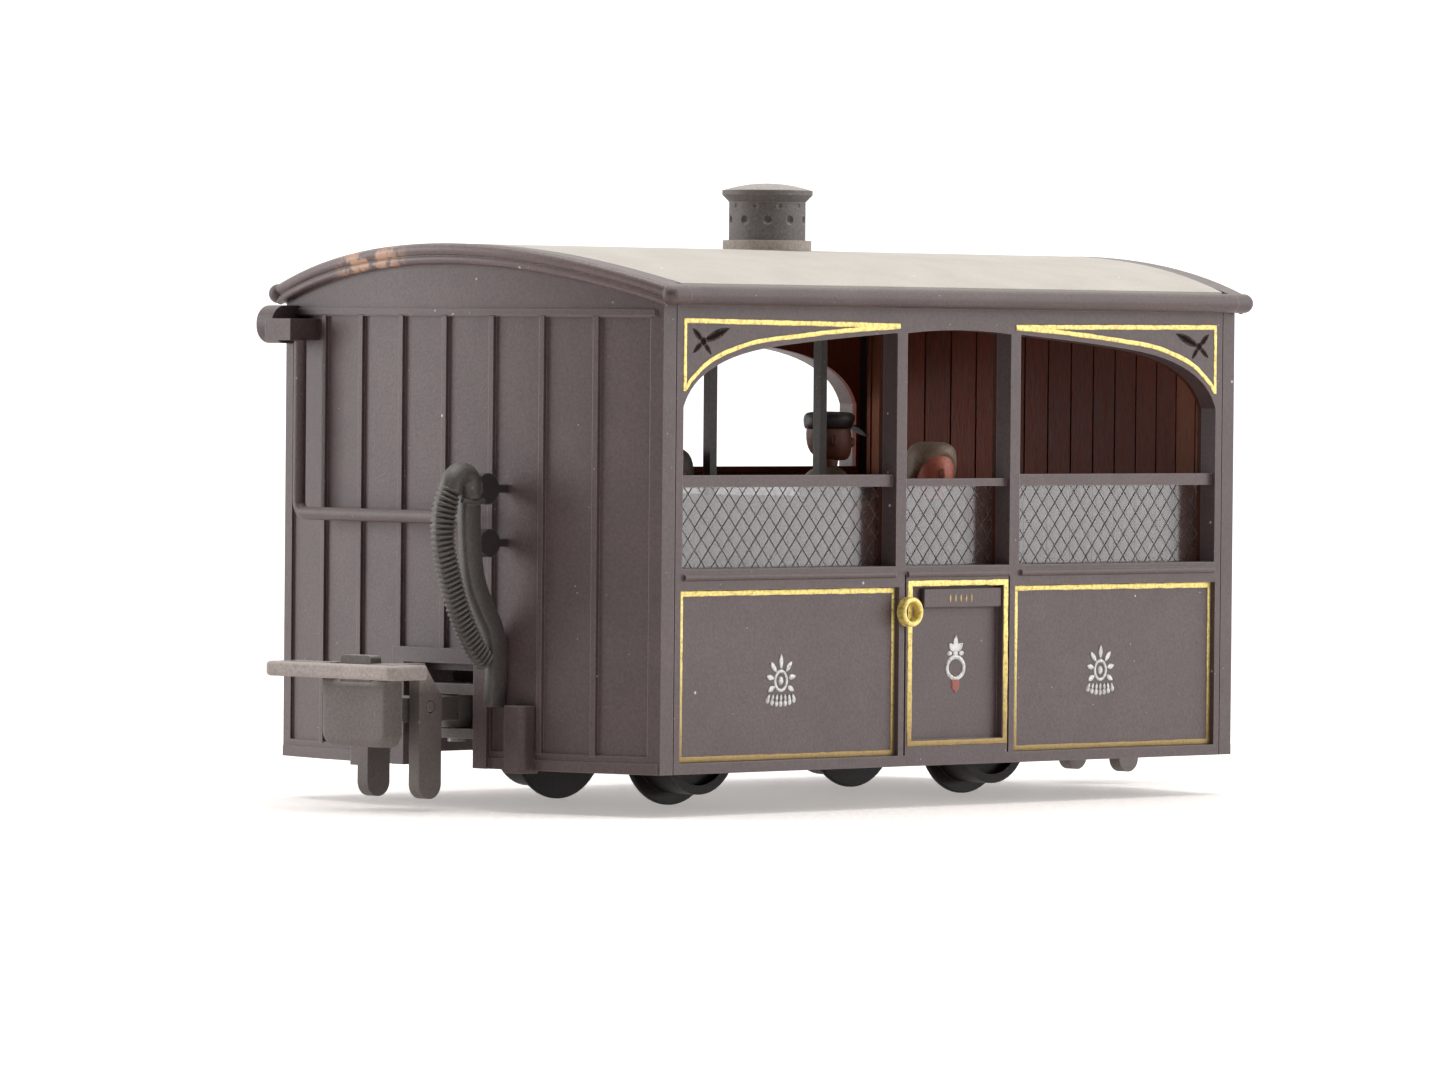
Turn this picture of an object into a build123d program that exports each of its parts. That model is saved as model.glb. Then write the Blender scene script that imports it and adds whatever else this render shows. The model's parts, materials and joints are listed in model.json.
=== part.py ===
from build123d import *
import math
import os

# Narrow gauge four-wheel open-sided model coach, 4 mm to the foot on 9 mm gauge track.
# Millimetres. X runs along the coach, Z is up, and the origin is on the surface that the
# wheel flanges stand on, midway between the couplings. "Near" is -Y and "front" is -X.

# ---- Driving dimensions ----
BODY_LENGTH = 40.6          # over the corners of the bowed ends
BODY_WIDTH = 26.0           # over the side walls
BODY_BOTTOM = 2.03
END_BOW = 1.75              # how far the middle of an end stands beyond its corners
END_THICKNESS = 1.0
CORNER_RETURN = 0.85        # width of the end moulding seen on the side
WALL_THICKNESS = 0.95
ROOF_APEX = 27.03
ROOF_RADIUS = 47.0
ROOF_THICKNESS = 0.7
ROOF_HALF_WIDTH = 13.05
BEAD_HEIGHT = 0.95          # gutter and hoop
BEAD_BOTTOM = 24.15
EAVES_HALF_WIDTH = 14.02
GUTTER_LIP = 0.1
HOOP_PROUD = 0.28           # how far a hoop stands out of its end
HOOP_GROOVE = (0.15, 0.56, 0.64)    # depth level, and reach below the roof's surface, of its groove
HOOP_BALL_OUT = 0.05        # the corner balls' centres stand this far outside the body's corners
DOOR_CENTRE = 0.11          # the doorway is very slightly off the middle
DOOR_HALF_WIDTH = 3.69
POST_WIDTH = 0.70
JAMB = 18.93                # outer edge of each bay opening
SILL = 11.70                # bottom of the mesh windows
MESH_TOP = 15.55
RAIL_TOP = 16.12
DOOR_HEAD = 22.95           # at the doorway's corners
DOOR_HEAD_RISE = 0.17
BAY_PANEL_Z = (2.55, 10.70)     # sunk panels below the windows
BAY_PANEL_DEPTH = 0.28
BAY_PANEL_MARGINS = (0.08, 0.27)    # how far a panel reaches past its bay's jamb and its post
DOOR_PANEL_Z = (3.27, 10.74)
DOOR_PANEL_DEPTH = 0.38
DOOR_STILE = 0.42
ARCH_EDGE = ((4.0, 22.98), (8.4, 22.65), (11.5, 22.37), (14.3, 22.0),
             (16.8, 21.27), (18.2, 20.4), (JAMB, 19.35))    # a bay's arch, outwards from its post
WAIST_Z = 11.3
WAIST_RADIUS = 0.16
SEAM = 0.06                 # half width of the fine gaps
SEAM_DEPTH = 0.2
RAIL_SET_BACK = 0.25        # the window rail stands this far behind the wall's face
BATTEN_PITCH = 3.12         # upright battens on the ends
BATTEN_WIDTH = 0.30
BATTEN_PROUD = 0.05
END_FIELD = (-0.15, 12.3, (2.87, 23.56))    # depth, half width and heights of the ends' sunk planks
END_BANDS = ((0.12, 12.6, (23.62, 23.92)), (0.10, 12.9, (BODY_BOTTOM, 2.55)))   # raised, the same way
COUPLING_ARCH = (2.4, 6.98)     # half width and top of the opening for the coupling
COUPLING_FRAME = (0.3, 3.25, (BODY_BOTTOM, 7.7))    # raised round that opening
STEP_BLOCK_Y = (4.6, 6.0)
STEP_BLOCK_Z = (1.9, 5.1)
FLOOR_BOTTOM = 6.6
FLOOR_TOP = 7.8
UNDERFRAME_THICKNESS = 0.8
SCREW_X = 15.2
SCREW_RADIUS = 0.5
SCREW_HEAD_RADIUS = 0.98
SCREW_HEAD_HEIGHT = 0.35
AXLE_BLOCK_Y = (6.35, 7.85)
AXLE_BLOCK_BOTTOM = 2.3
CUP_RADIUS = 0.9
CUP_Y = (6.35, 7.6)
WHEELBASE = 20.86
FLANGE_RADIUS = 3.12
TREAD_RADIUS = 2.55
BACK_TO_BACK = 7.4
WHEEL_WIDTH = 2.2
FLANGE_WIDTH = 0.28
FLANGE_ROUNDING = 0.08
WHEEL_DISH = (1.15, 2.1, 0.45)      # inner and outer radius of the dished ring and its depth
AXLE_RADIUS = 0.75
AXLE_HALF_LENGTH = 6.2
JOURNAL_RADIUS = 0.50
JOURNAL_END = 7.4
RUNNING_CLEARANCE = 0.05
LAMP_RADIUS = 1.9
LAMP_RIM_RADIUS = 2.24
LAMP_BASE_RADIUS = 2.2
LAMP_DRUM_Z = (27.5, 29.4)
LAMP_FLARE = 0.35           # height of the flare under the rim
LAMP_RIM = 0.23             # height of the rim
LAMP_DOME_RADIUS = 2.2      # in plan
LAMP_DOME_RISE = 0.35
LAMP_HOLES = 10             # in each row
LAMP_HOLE_RADIUS = 0.25
LAMP_HOLE_ROWS = ((28.5, 224.4, 0.16), (29.2, 242.4, 0.06))     # height, turn in degrees and depth
PLANK_WIDTH = 1.6
PLANK_GROOVE = 0.1          # width and depth of the grooves between planks
LINING_THICKNESS = 0.25
LINING_MARGIN = 0.27        # how far the side lining runs on past the bays
END_LINING_THICKNESS = 0.3
END_LINING_HALF = 11.45
GLAZING_THICKNESS = 0.30
GLAZING_MARGIN = 0.07
GLAZING_LAP = (0.4, 0.3)    # what the clear strip covers below and above a mesh window
BENCH_TOP = 10.2
BENCH_BACK_TOP = 14.8
BENCH_HALF_WIDTH = 10.9
BENCH_X = (-8.3, -4.15, -3.6)   # front of the seat, back board's face and its rear
BENCH_NOSING = 0.5          # rounding along a seat's front edge
END_BENCH_X = (-19.0, -15.4)
POST_X = 3.9
POST_HALF = 0.24
WEIGHT_HALF = (6.8, 10.8)
WEIGHT_BOTTOM = 3.4
COUPLER_PIVOT_X = -21.05
POCKET_HALF_WIDTH = 2.2
POCKET_X = (-21.95, -19.2, -16.6)   # mouth, back of the mouth and rear
POCKET_Z = (3.4, 3.85, 5.5, 6.0)    # lower and upper jaws
PIN_RADIUS = 0.25           # of both coupling pins
LOOP_PIVOT = (-24.8, 5.0)   # x and z of the pin that the loop lifts about
LOOP_ARMS = (1.42, 2.12)    # inner and outer faces of the loop's arms
LOOP_Z = (6.38, 7.08)
LOOP_X = (-29.6, -27.4)
LOOP_HALF_WIDTH = 4.55
LOOP_BAR = 0.65             # width of the bars round the loop
DROPPER_WIDTH = 1.45
DROPPER_FOOT = 1.3          # where its rounded foot starts
BUFFER_X = (-27.85, -26.9)
BUFFER_HALF_WIDTH = 2.35
BUFFER_Z = (3.1, 6.3)
NOSE_X = (-27.75, -27.05)
NOSE_HALF_WIDTH = 1.05
NOSE_TOP = 7.45
SHANK_Z = (4.25, 5.4)
SHANK_HALF_WIDTH = 1.25
HOSE_Y = (-4.35, -3.50)     # the vacuum hose is a flat moulding between these
HOSE_WIDTH = 1.10
STANDPIPE_WIDTH = 1.08
HOSE_CLIPS = ((-23.1, 15.37, 0.75), (-22.95, 12.8, 0.68))       # x, z and radius
HOSE_CLIP_Y = (-4.15, -3.7)
HOSE_CLIP_STALK = 0.2       # half height of the bar behind each clip
EMBED = 0.2                 # how far a fitting's foot is let into its end
CONDUIT_RADIUS = 0.31
CONDUIT_BEND = 0.6
CONDUIT_Z = (13.97, 22.33)
CONDUIT_X = -24.0           # where it meets the standpipe
CORD_BRACKET_Y = (10.1, 11.9)
CORD_CHEEK_Y = (11.85, 12.95)
HANDLE_PLACE = (-3.46, 9.5)     # x and z of the near door's handle
HANDLE_RADII = (0.46, 0.72)
HANDLE_REACH = 0.47

# The seated figures
HEAD_RADIUS = 1.15
HAT_TOP = 1.45              # top of the hat or hair above the middle of the head
HAT_RADIUS = 1.3
HAT_HEIGHT = 0.8
NECK_DROP = 0.95            # top of the trunk below the middle of the head
WAIST_GIRTH = 1.35          # radius of the trunk on the bench
SHOULDER_GIRTH = 0.95       # and at the neck
LEG_Y = 0.75
THIGH_RADIUS = 0.55
SHIN_RADIUS = 0.5
KNEE_X = 2.9
SHIN_X = 3.35
KNEE_RADIUS = 0.6

HALF_LENGTH = BODY_LENGTH / 2
HALF_WIDTH = BODY_WIDTH / 2
BOW_RADIUS = (HALF_WIDTH ** 2 + END_BOW ** 2) / (2 * END_BOW)
BOW_CENTRE = BOW_RADIUS - HALF_LENGTH - END_BOW
ROOF_CENTRE = ROOF_APEX - ROOF_RADIUS
SIDE_HALF_LENGTH = HALF_LENGTH - CORNER_RETURN
WALL_INNER = HALF_WIDTH - WALL_THICKNESS
END_REACH = (-24, -17)      # along X, clear of everything that the front end holds
AXLE_X = WHEELBASE / 2


# ---- Shape helpers ----
def block(x, y, z):
    """A box between the two values given for each axis."""
    size = [high - low for low, high in (x, y, z)]
    middle = [(high + low) / 2 for low, high in (x, y, z)]
    return Pos(*middle) * Box(*size)


def rod_y(radius, y, x=0.0, z=0.0):
    """A cylinder along Y between two values of y."""
    return Pos(x, sum(y) / 2, z) * Rot(90, 0, 0) * Cylinder(radius, y[1] - y[0])


def rod_z(radius, z, x=0.0, y=0.0):
    """A cylinder along Z between two heights."""
    return Pos(x, y, sum(z) / 2) * Cylinder(radius, z[1] - z[0])


def bow(outset):
    """Everything inside the front end's bowed surface, moved out by outset."""
    return rod_z(BOW_RADIUS + outset, (-1, 40), x=BOW_CENTRE)


def arch(inset):
    """Everything under the roof's outer surface, moved in by inset."""
    return Pos(0, 0, ROOF_CENTRE) * Rot(0, 90, 0) * Cylinder(ROOF_RADIUS - inset, 80)


def bow_x(y, outset=0.0):
    """Where the front end's surface stands at a given y."""
    return BOW_CENTRE - math.sqrt((BOW_RADIUS + outset) ** 2 - y ** 2)


def across(shape):
    """The same piece on the other side of the coach."""
    return mirror(shape, about=Plane.XZ)


def turned(shape):
    """The same piece at the other end, turned half way round."""
    return Rot(0, 0, 180) * shape


def mirrored(shape):
    """The same piece at the other end, mirrored."""
    return mirror(shape, about=Plane.YZ)


def save(node, *solids):
    """Writes a node from one or more separate solids."""
    shape = solids[0] if len(solids) == 1 else Compound(children=list(solids))
    export_step(shape, f"parts/{node}.step")


# ---- Body shell ----
def bay_outline(side):
    """The arched bay opening on one side of the door, above the window rail."""
    points = [(side * x, z) for x, z in ARCH_EDGE]
    inner, outer = points[0][0], points[-1][0]
    return make_face(Spline(points) + Polyline([points[-1], (outer, RAIL_TOP), (inner, RAIL_TOP), points[0]]))


def door_outline():
    """The doorway above its rail, under a very slightly arched head."""
    left, right = window_spans()[1]
    foot = RAIL_TOP - 0.2
    head = ThreePointArc((left, DOOR_HEAD), (DOOR_CENTRE, DOOR_HEAD + DOOR_HEAD_RISE), (right, DOOR_HEAD))
    return make_face(head + Polyline([(right, DOOR_HEAD), (right, foot), (left, foot), (left, DOOR_HEAD)]))


def window_spans():
    """The three window openings of a side: left bay, door and right bay."""
    left = DOOR_CENTRE - DOOR_HALF_WIDTH
    right = DOOR_CENTRE + DOOR_HALF_WIDTH
    return [(-JAMB, left - POST_WIDTH), (left, right), (right + POST_WIDTH, JAMB)]


def side_openings():
    """What is cut through the near side: mesh windows, arched bays and the doorway's upper half."""
    spans = window_spans()
    through = (-HALF_WIDTH - 1, -WALL_INNER + 1)
    cuts = [block(x, through, (SILL, MESH_TOP)) for x in spans]
    cuts.append(extrude(Plane.XZ * door_outline(), amount=2 * HALF_WIDTH))
    for hand, x in ((-1, spans[0]), (1, spans[2])):
        prism = extrude(Plane.XZ * bay_outline(hand), amount=2 * HALF_WIDTH)
        cuts.append(prism & block(x, through, (SILL, ROOF_APEX)))
    return cuts


def side_wall():
    """The near side: wall, gutter bead, openings, window rails, beads and sunk panels."""
    length = (-SIDE_HALF_LENGTH, SIDE_HALF_LENGTH)
    outer = -HALF_WIDTH
    bead_radius = BEAD_HEIGHT / 2
    bead_z = BEAD_BOTTOM + bead_radius
    bead_y = -(EAVES_HALF_WIDTH - bead_radius)
    wall = block(length, (outer, -WALL_INNER), (BODY_BOTTOM, ROOF_APEX)) & arch(ROOF_THICKNESS)
    gutter = block(length, (bead_y, -ROOF_HALF_WIDTH), (BEAD_BOTTOM, BEAD_BOTTOM + BEAD_HEIGHT))
    gutter += Pos(0, bead_y, bead_z) * Rot(0, 90, 0) * Cylinder(bead_radius, 2 * SIDE_HALF_LENGTH)
    gutter += block(length, (-ROOF_HALF_WIDTH, outer), (BEAD_BOTTOM, BEAD_BOTTOM + GUTTER_LIP))
    side = wall + gutter - side_openings()
    for x in window_spans():
        side -= block(x, (outer - 1, outer + RAIL_SET_BACK), (MESH_TOP - 0.2, RAIL_TOP + 0.2))
    return side - panel_cuts(outer) + waist_bead(outer)


def panel_cuts(outer):
    """The sunk lower panels and the fine gaps around the door and at the corners."""
    left, door, right = window_spans()
    past_jamb, past_post = BAY_PANEL_MARGINS
    cuts = []
    for x in ((left[0] - past_jamb, left[1] + past_post), (right[0] - past_post, right[1] + past_jamb)):
        cuts.append(block(x, (outer - 1, outer + BAY_PANEL_DEPTH), BAY_PANEL_Z))
    inner = (door[0] + DOOR_STILE, door[1] - DOOR_STILE)
    cuts.append(block(inner, (outer - 1, outer + DOOR_PANEL_DEPTH), DOOR_PANEL_Z))
    for x in door:
        cuts.append(block((x - SEAM, x + SEAM), (outer - 1, outer + SEAM_DEPTH), (BAY_PANEL_Z[0], WAIST_Z)))
    for x in (-SIDE_HALF_LENGTH, SIDE_HALF_LENGTH):
        cuts.append(block((x - SEAM, x + SEAM), (outer - 1, outer + SEAM_DEPTH), (BODY_BOTTOM, BEAD_BOTTOM)))
    return cuts


def waist_bead(outer):
    """The half-round moulding along the waist, broken at the door."""
    bead = None
    for low, high in window_spans():
        middle = Pos((low + high) / 2, outer, WAIST_Z)
        piece = middle * Rot(0, 90, 0) * Cylinder(WAIST_RADIUS, high - low - 0.2)
        bead = piece if bead is None else bead + piece
    return bead


def end_slab(outset, half_width, z):
    """A layer that follows the front end's surface, between two heights."""
    skin = bow(outset) - bow(-END_THICKNESS / 2)
    return skin & block(END_REACH, (-half_width, half_width), z)


def end_wall():
    """The front end: bowed shell, planks and battens, coupling opening and roof hoop."""
    depth, half_width, field_z = END_FIELD
    arch_half, arch_top = COUPLING_ARCH
    side_cheek = block((-SIDE_HALF_LENGTH, 0), (WALL_INNER, HALF_WIDTH + 2), (0, 40))
    reach = block(END_REACH, (-HALF_WIDTH, HALF_WIDTH), (BODY_BOTTOM, ROOF_APEX + 1))
    end = ((bow(0) - bow(-END_THICKNESS)) & reach & arch(0)) - side_cheek - across(side_cheek)
    end -= (bow(1) - bow(depth)) & block(END_REACH, (-half_width, half_width), field_z)
    battens = end_slab(BATTEN_PROUD, half_width, (field_z[0] - 0.07, field_z[1] + 0.04))
    for number in range(-3, 4):
        y = number * BATTEN_PITCH
        end += battens & block(END_REACH, (y - BATTEN_WIDTH / 2, y + BATTEN_WIDTH / 2), (0, ROOF_APEX))
    for band in END_BANDS:
        end += end_slab(*band)
    coupling_arch = block(END_REACH, (-arch_half, arch_half), (BODY_BOTTOM - 1, arch_top))
    return end + end_slab(*COUPLING_FRAME) - coupling_arch + roof_hoop()


def roof_hoop():
    """The double bead that follows the roof's arch round the end, with a ball at each corner."""
    half = EAVES_HALF_WIDTH - BEAD_HEIGHT / 2
    ball_x = -HALF_LENGTH - HOOP_BALL_OUT
    level, groove_top, groove_foot = HOOP_GROOVE
    span = block(END_REACH, (-half, half), (BEAD_BOTTOM, ROOF_APEX + 1))
    band = (bow(HOOP_PROUD) - bow(-CORNER_RETURN)) & (arch(0) - arch(BEAD_HEIGHT)) & span
    groove = (bow(1) - bow(level)) & (arch(groove_top) - arch(groove_foot)) & span
    corner = block((-SIDE_HALF_LENGTH, END_REACH[1]), (-15, 15), (20, 30))
    bead_end = Pos(ball_x, half, BEAD_BOTTOM + BEAD_HEIGHT / 2)
    nib_length = -SIDE_HALF_LENGTH - ball_x
    nib = bead_end * Rot(0, 90, 0) * Pos(0, 0, nib_length / 2) * Cylinder(BEAD_HEIGHT / 2, nib_length)
    ball = bead_end * Sphere(BEAD_HEIGHT / 2) - corner + nib
    return band - groove - corner + ball + across(ball)


def roof():
    """The arched roof skin between the two end hoops."""
    skin = arch(0) - arch(ROOF_THICKNESS)
    skin &= block((-24, 24), (-ROOF_HALF_WIDTH, ROOF_HALF_WIDTH), (20, 30))
    inside = bow(-END_THICKNESS) & turned(bow(-END_THICKNESS))
    return skin & inside


def lamp_pieces():
    """The lamp top on the ridge: base flange, pierced drum and domed cap."""
    foot, top = LAMP_DRUM_Z
    base = rod_z(LAMP_BASE_RADIUS, (ROOF_APEX - ROOF_THICKNESS, foot)) - arch(0)
    drum = rod_z(LAMP_RADIUS, (foot, top))
    for z, turn, depth in LAMP_HOLE_ROWS:
        reach = LAMP_RADIUS - depth + LAMP_HOLE_RADIUS
        for number in range(LAMP_HOLES):
            angle = math.radians(number * 360 / LAMP_HOLES + turn)
            drum -= Pos(reach * math.cos(angle), reach * math.sin(angle), z) * Sphere(LAMP_HOLE_RADIUS)
    rim_foot = top + LAMP_FLARE
    rim_top = rim_foot + LAMP_RIM
    flare = Pos(0, 0, (top + rim_foot) / 2) * Cone(LAMP_RADIUS, LAMP_RIM_RADIUS, LAMP_FLARE)
    rim = rod_z(LAMP_RIM_RADIUS, (rim_foot, rim_top))
    sphere_radius = (LAMP_DOME_RADIUS ** 2 + LAMP_DOME_RISE ** 2) / (2 * LAMP_DOME_RISE)
    dome = Pos(0, 0, rim_top + LAMP_DOME_RISE - sphere_radius) * Sphere(sphere_radius)
    dome &= block((-3, 3), (-3, 3), (rim_top, rim_top + 1))
    return base, drum, flare + rim + dome


# ---- Cabin ----
def side_lining():
    """The brown board behind the near side wall, open where the wall is."""
    face = -WALL_INNER
    reach = JAMB + LINING_MARGIN
    board = block((-reach, reach), (face, face + LINING_THICKNESS), (FLOOR_TOP - 0.4, ROOF_APEX))
    board &= arch(ROOF_THICKNESS + RUNNING_CLEARANCE)
    return board - side_openings()


def mesh_glazing():
    """The clear strip behind the near side's three mesh windows."""
    face = -WALL_INNER + LINING_THICKNESS
    reach = JAMB + GLAZING_MARGIN
    heights = (SILL - GLAZING_LAP[0], MESH_TOP + GLAZING_LAP[1])
    return block((-reach, reach), (face, face + GLAZING_THICKNESS), heights)


def end_lining():
    """The curved planked board inside the front end."""
    back = -END_THICKNESS - END_LINING_THICKNESS
    skin = bow(-END_THICKNESS) - bow(back)
    board = skin & block(END_REACH, (-END_LINING_HALF, END_LINING_HALF), (FLOOR_TOP, ROOF_APEX))
    board &= arch(ROOF_THICKNESS + RUNNING_CLEARANCE)
    surface = bow(back + PLANK_GROOVE) - bow(back - PLANK_GROOVE)
    for number in range(-7, 8):
        y = number * PLANK_WIDTH
        board -= surface & block(END_REACH, (y - PLANK_GROOVE / 2, y + PLANK_GROOVE / 2), (0, 30))
    return board


def between_ends(half_width, z):
    """A plate that fills the coach from one end wall to the other."""
    plate = block((-HALF_LENGTH - 1, HALF_LENGTH + 1), (-half_width, half_width), z)
    return plate & bow(-END_THICKNESS) & turned(bow(-END_THICKNESS))


def cabin_floor():
    """The brown floor board."""
    half = WALL_INNER - LINING_THICKNESS - RUNNING_CLEARANCE
    board = between_ends(half, (FLOOR_BOTTOM + UNDERFRAME_THICKNESS, FLOOR_TOP))
    for x in (-SCREW_X, SCREW_X):
        board -= rod_z(SCREW_RADIUS, (0, 20), x=x)
    return board


def bench():
    """The front transverse bench, facing outwards, with its back board by the doorway."""
    across_y = (-BENCH_HALF_WIDTH, BENCH_HALF_WIDTH)
    front, face, back = BENCH_X
    seat = block((front, face), across_y, (FLOOR_TOP, BENCH_TOP))
    seat = fillet(seat.edges().filter_by(Axis.Y).group_by(Axis.Z)[-1].sort_by(Axis.X)[0], BENCH_NOSING)
    return seat + block((face, back), across_y, (FLOOR_TOP, BENCH_BACK_TOP))


def end_bench():
    """The front end bench, facing the middle of the coach."""
    seat = block(END_BENCH_X, (-BENCH_HALF_WIDTH, BENCH_HALF_WIDTH), (FLOOR_TOP, BENCH_TOP))
    return fillet(seat.edges().filter_by(Axis.Y).group_by(Axis.Z)[-1].sort_by(Axis.X)[-1], BENCH_NOSING)


def roof_posts():
    """The two slim posts from the bench backs to the roof."""
    posts = []
    half = (-POST_HALF, POST_HALF)
    for x in (-POST_X, POST_X):
        post = Pos(x, 0, 0) * block(half, half, (BENCH_BACK_TOP, ROOF_APEX))
        posts.append(post & arch(ROOF_THICKNESS))
    return posts


def passenger(x, y, turn, head_top, hat):
    """A seated figure on a bench: legs, body, head and hat."""
    leg_z = BENCH_TOP + THIGH_RADIUS
    head_z = head_top - HAT_TOP
    trunk_height = head_z - NECK_DROP - BENCH_TOP
    figure = Pos(0, 0, BENCH_TOP + trunk_height / 2) * Cone(WAIST_GIRTH, SHOULDER_GIRTH, trunk_height)
    for leg in (-LEG_Y, LEG_Y):
        thigh = Pos(KNEE_X / 2, leg, leg_z) * Rot(0, 90, 0) * Cylinder(THIGH_RADIUS, KNEE_X)
        shin = rod_z(SHIN_RADIUS, (FLOOR_TOP, leg_z), x=SHIN_X, y=leg)
        figure += thigh + shin + Pos(KNEE_X, leg, leg_z) * Sphere(KNEE_RADIUS)
    figure += Pos(0, 0, head_z) * Sphere(HEAD_RADIUS)
    if hat:
        figure += rod_z(HAT_RADIUS, (head_top - HAT_HEIGHT, head_top), x=-0.1)
    return Pos(x, y, 0) * Rot(0, 0, turn) * figure


# ---- Underframe and wheels ----
def underframe():
    """The floor plate with the four axle blocks under it."""
    plate = between_ends(WALL_INNER, (FLOOR_BOTTOM, FLOOR_BOTTOM + UNDERFRAME_THICKNESS))
    for x in (-AXLE_X, AXLE_X):
        near = block((x - 1.6, x + 1.6), AXLE_BLOCK_Y, (AXLE_BLOCK_BOTTOM, FLOOR_BOTTOM))
        near -= rod_y(CUP_RADIUS, (AXLE_BLOCK_Y[0] - 0.05, CUP_Y[1]), x=x, z=FLANGE_RADIUS)
        plate += near + across(near)
    for x in (-SCREW_X, SCREW_X):
        plate -= rod_z(SCREW_RADIUS, (0, 20), x=x)
        plate -= rod_z(SCREW_HEAD_RADIUS + 0.02, (FLOOR_BOTTOM, FLOOR_BOTTOM + SCREW_HEAD_HEIGHT), x=x)
    return plate


def bearing_cups():
    """The four brass cups that the axle journals turn in."""
    cups = []
    bore = rod_y(JOURNAL_RADIUS + RUNNING_CLEARANCE, (0, HALF_WIDTH))
    for x in (-AXLE_X, AXLE_X):
        cup = Pos(x, 0, FLANGE_RADIUS) * (rod_y(CUP_RADIUS, CUP_Y) - bore)
        cups += [cup, across(cup)]
    return cups


def body_screws():
    """The two screws that hold the underframe to the cabin floor."""
    screws = []
    for x in (-SCREW_X, SCREW_X):
        head = rod_z(SCREW_HEAD_RADIUS, (FLOOR_BOTTOM, FLOOR_BOTTOM + SCREW_HEAD_HEIGHT), x=x)
        head -= block((x - 0.8, x + 0.8), (-0.1, 0.1), (FLOOR_BOTTOM - 0.1, FLOOR_BOTTOM + 0.15))
        screws.append(head + rod_z(SCREW_RADIUS, (FLOOR_BOTTOM + 0.3, FLOOR_TOP), x=x))
    return screws


def axle(x):
    """A plain axle with a thinner journal at each end."""
    middle = rod_y(AXLE_RADIUS, (-AXLE_HALF_LENGTH, AXLE_HALF_LENGTH), x=x, z=FLANGE_RADIUS)
    return middle + rod_y(JOURNAL_RADIUS, (-JOURNAL_END, JOURNAL_END), x=x, z=FLANGE_RADIUS)


def wheel(x):
    """A near-side wheel: flange inside, tread outside, with a dished face."""
    inner = -BACK_TO_BACK / 2
    outer = inner - WHEEL_WIDTH
    dish_inner, dish_outer, depth = WHEEL_DISH
    disc = rod_y(FLANGE_RADIUS, (inner - FLANGE_WIDTH, inner)) + rod_y(TREAD_RADIUS, (outer, inner))
    disc = fillet(disc.edges().filter_by(GeomType.CIRCLE).sort_by(SortBy.RADIUS)[-2:], FLANGE_ROUNDING)
    dish = (outer - 1, outer + depth)
    disc -= rod_y(dish_outer, dish) - rod_y(dish_inner, dish)
    disc -= rod_y(AXLE_RADIUS, (outer - 1, inner + 1))
    return Pos(x, 0, FLANGE_RADIUS) * disc


# ---- Couplings ----
def coupling_pocket():
    """The fixed jaw under the front of the underframe that the coupling swivels in."""
    mouth, back, rear = POCKET_X
    bottom, lower_top, upper_foot, top = POCKET_Z
    width = (-POCKET_HALF_WIDTH, POCKET_HALF_WIDTH)
    pocket = block((mouth, rear), width, (upper_foot, top))
    pocket += block((back, rear), width, (top - 0.1, FLOOR_BOTTOM))
    pocket += block((back - 0.4, back + 0.3), width, (bottom, upper_foot + 0.1))
    pocket += block((mouth, back + 0.3), width, (bottom, lower_top))
    return pocket - rod_z(PIN_RADIUS, (0, 10), x=COUPLER_PIVOT_X)


def pocket_pin():
    """The pivot pin through the front coupling pocket."""
    bottom, top = POCKET_Z[0], POCKET_Z[-1]
    head = rod_z(0.45, (bottom - 0.2, bottom), x=COUPLER_PIVOT_X)
    return rod_z(PIN_RADIUS, (bottom, top), x=COUPLER_PIVOT_X) + head


def coupler_body():
    """The swivelling drawbar: eye, shank, buffer head and the hook nose on top of it."""
    half = SHANK_HALF_WIDTH
    slim = half - 0.65
    eye = rod_z(0.75, (POCKET_Z[1] + RUNNING_CLEARANCE, POCKET_Z[2] - RUNNING_CLEARANCE), x=COUPLER_PIVOT_X)
    shank = block((BUFFER_X[0] + 0.9, -23.2), (-half, half), SHANK_Z)
    shank += block((-23.2, COUPLER_PIVOT_X - 0.3), (-slim, slim), SHANK_Z)
    head = block(BUFFER_X, (-BUFFER_HALF_WIDTH, BUFFER_HALF_WIDTH), BUFFER_Z)
    head = fillet(head.edges().filter_by(Axis.X).group_by(Axis.Z)[0], 0.7)
    head = fillet(head.edges().group_by(Axis.X)[0], 0.4)
    nose = block(NOSE_X, (-NOSE_HALF_WIDTH, NOSE_HALF_WIDTH), (BUFFER_Z[1] - 0.2, NOSE_TOP))
    nose = fillet(nose.edges().filter_by(Axis.X).group_by(Axis.Z)[-1], 0.2)
    drawbar = eye + shank + head + nose
    drawbar -= rod_z(PIN_RADIUS + RUNNING_CLEARANCE, (0, 10), x=COUPLER_PIVOT_X)
    pivot_x, pivot_z = LOOP_PIVOT
    return drawbar - rod_y(PIN_RADIUS, (-5, 5), x=pivot_x, z=pivot_z)


def loop_pin():
    """The cross pin through the drawbar that the loop lifts on."""
    pivot_x, pivot_z = LOOP_PIVOT
    reach = LOOP_ARMS[1] - 0.02
    return rod_y(PIN_RADIUS, (-reach, reach), x=pivot_x, z=pivot_z)


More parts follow.
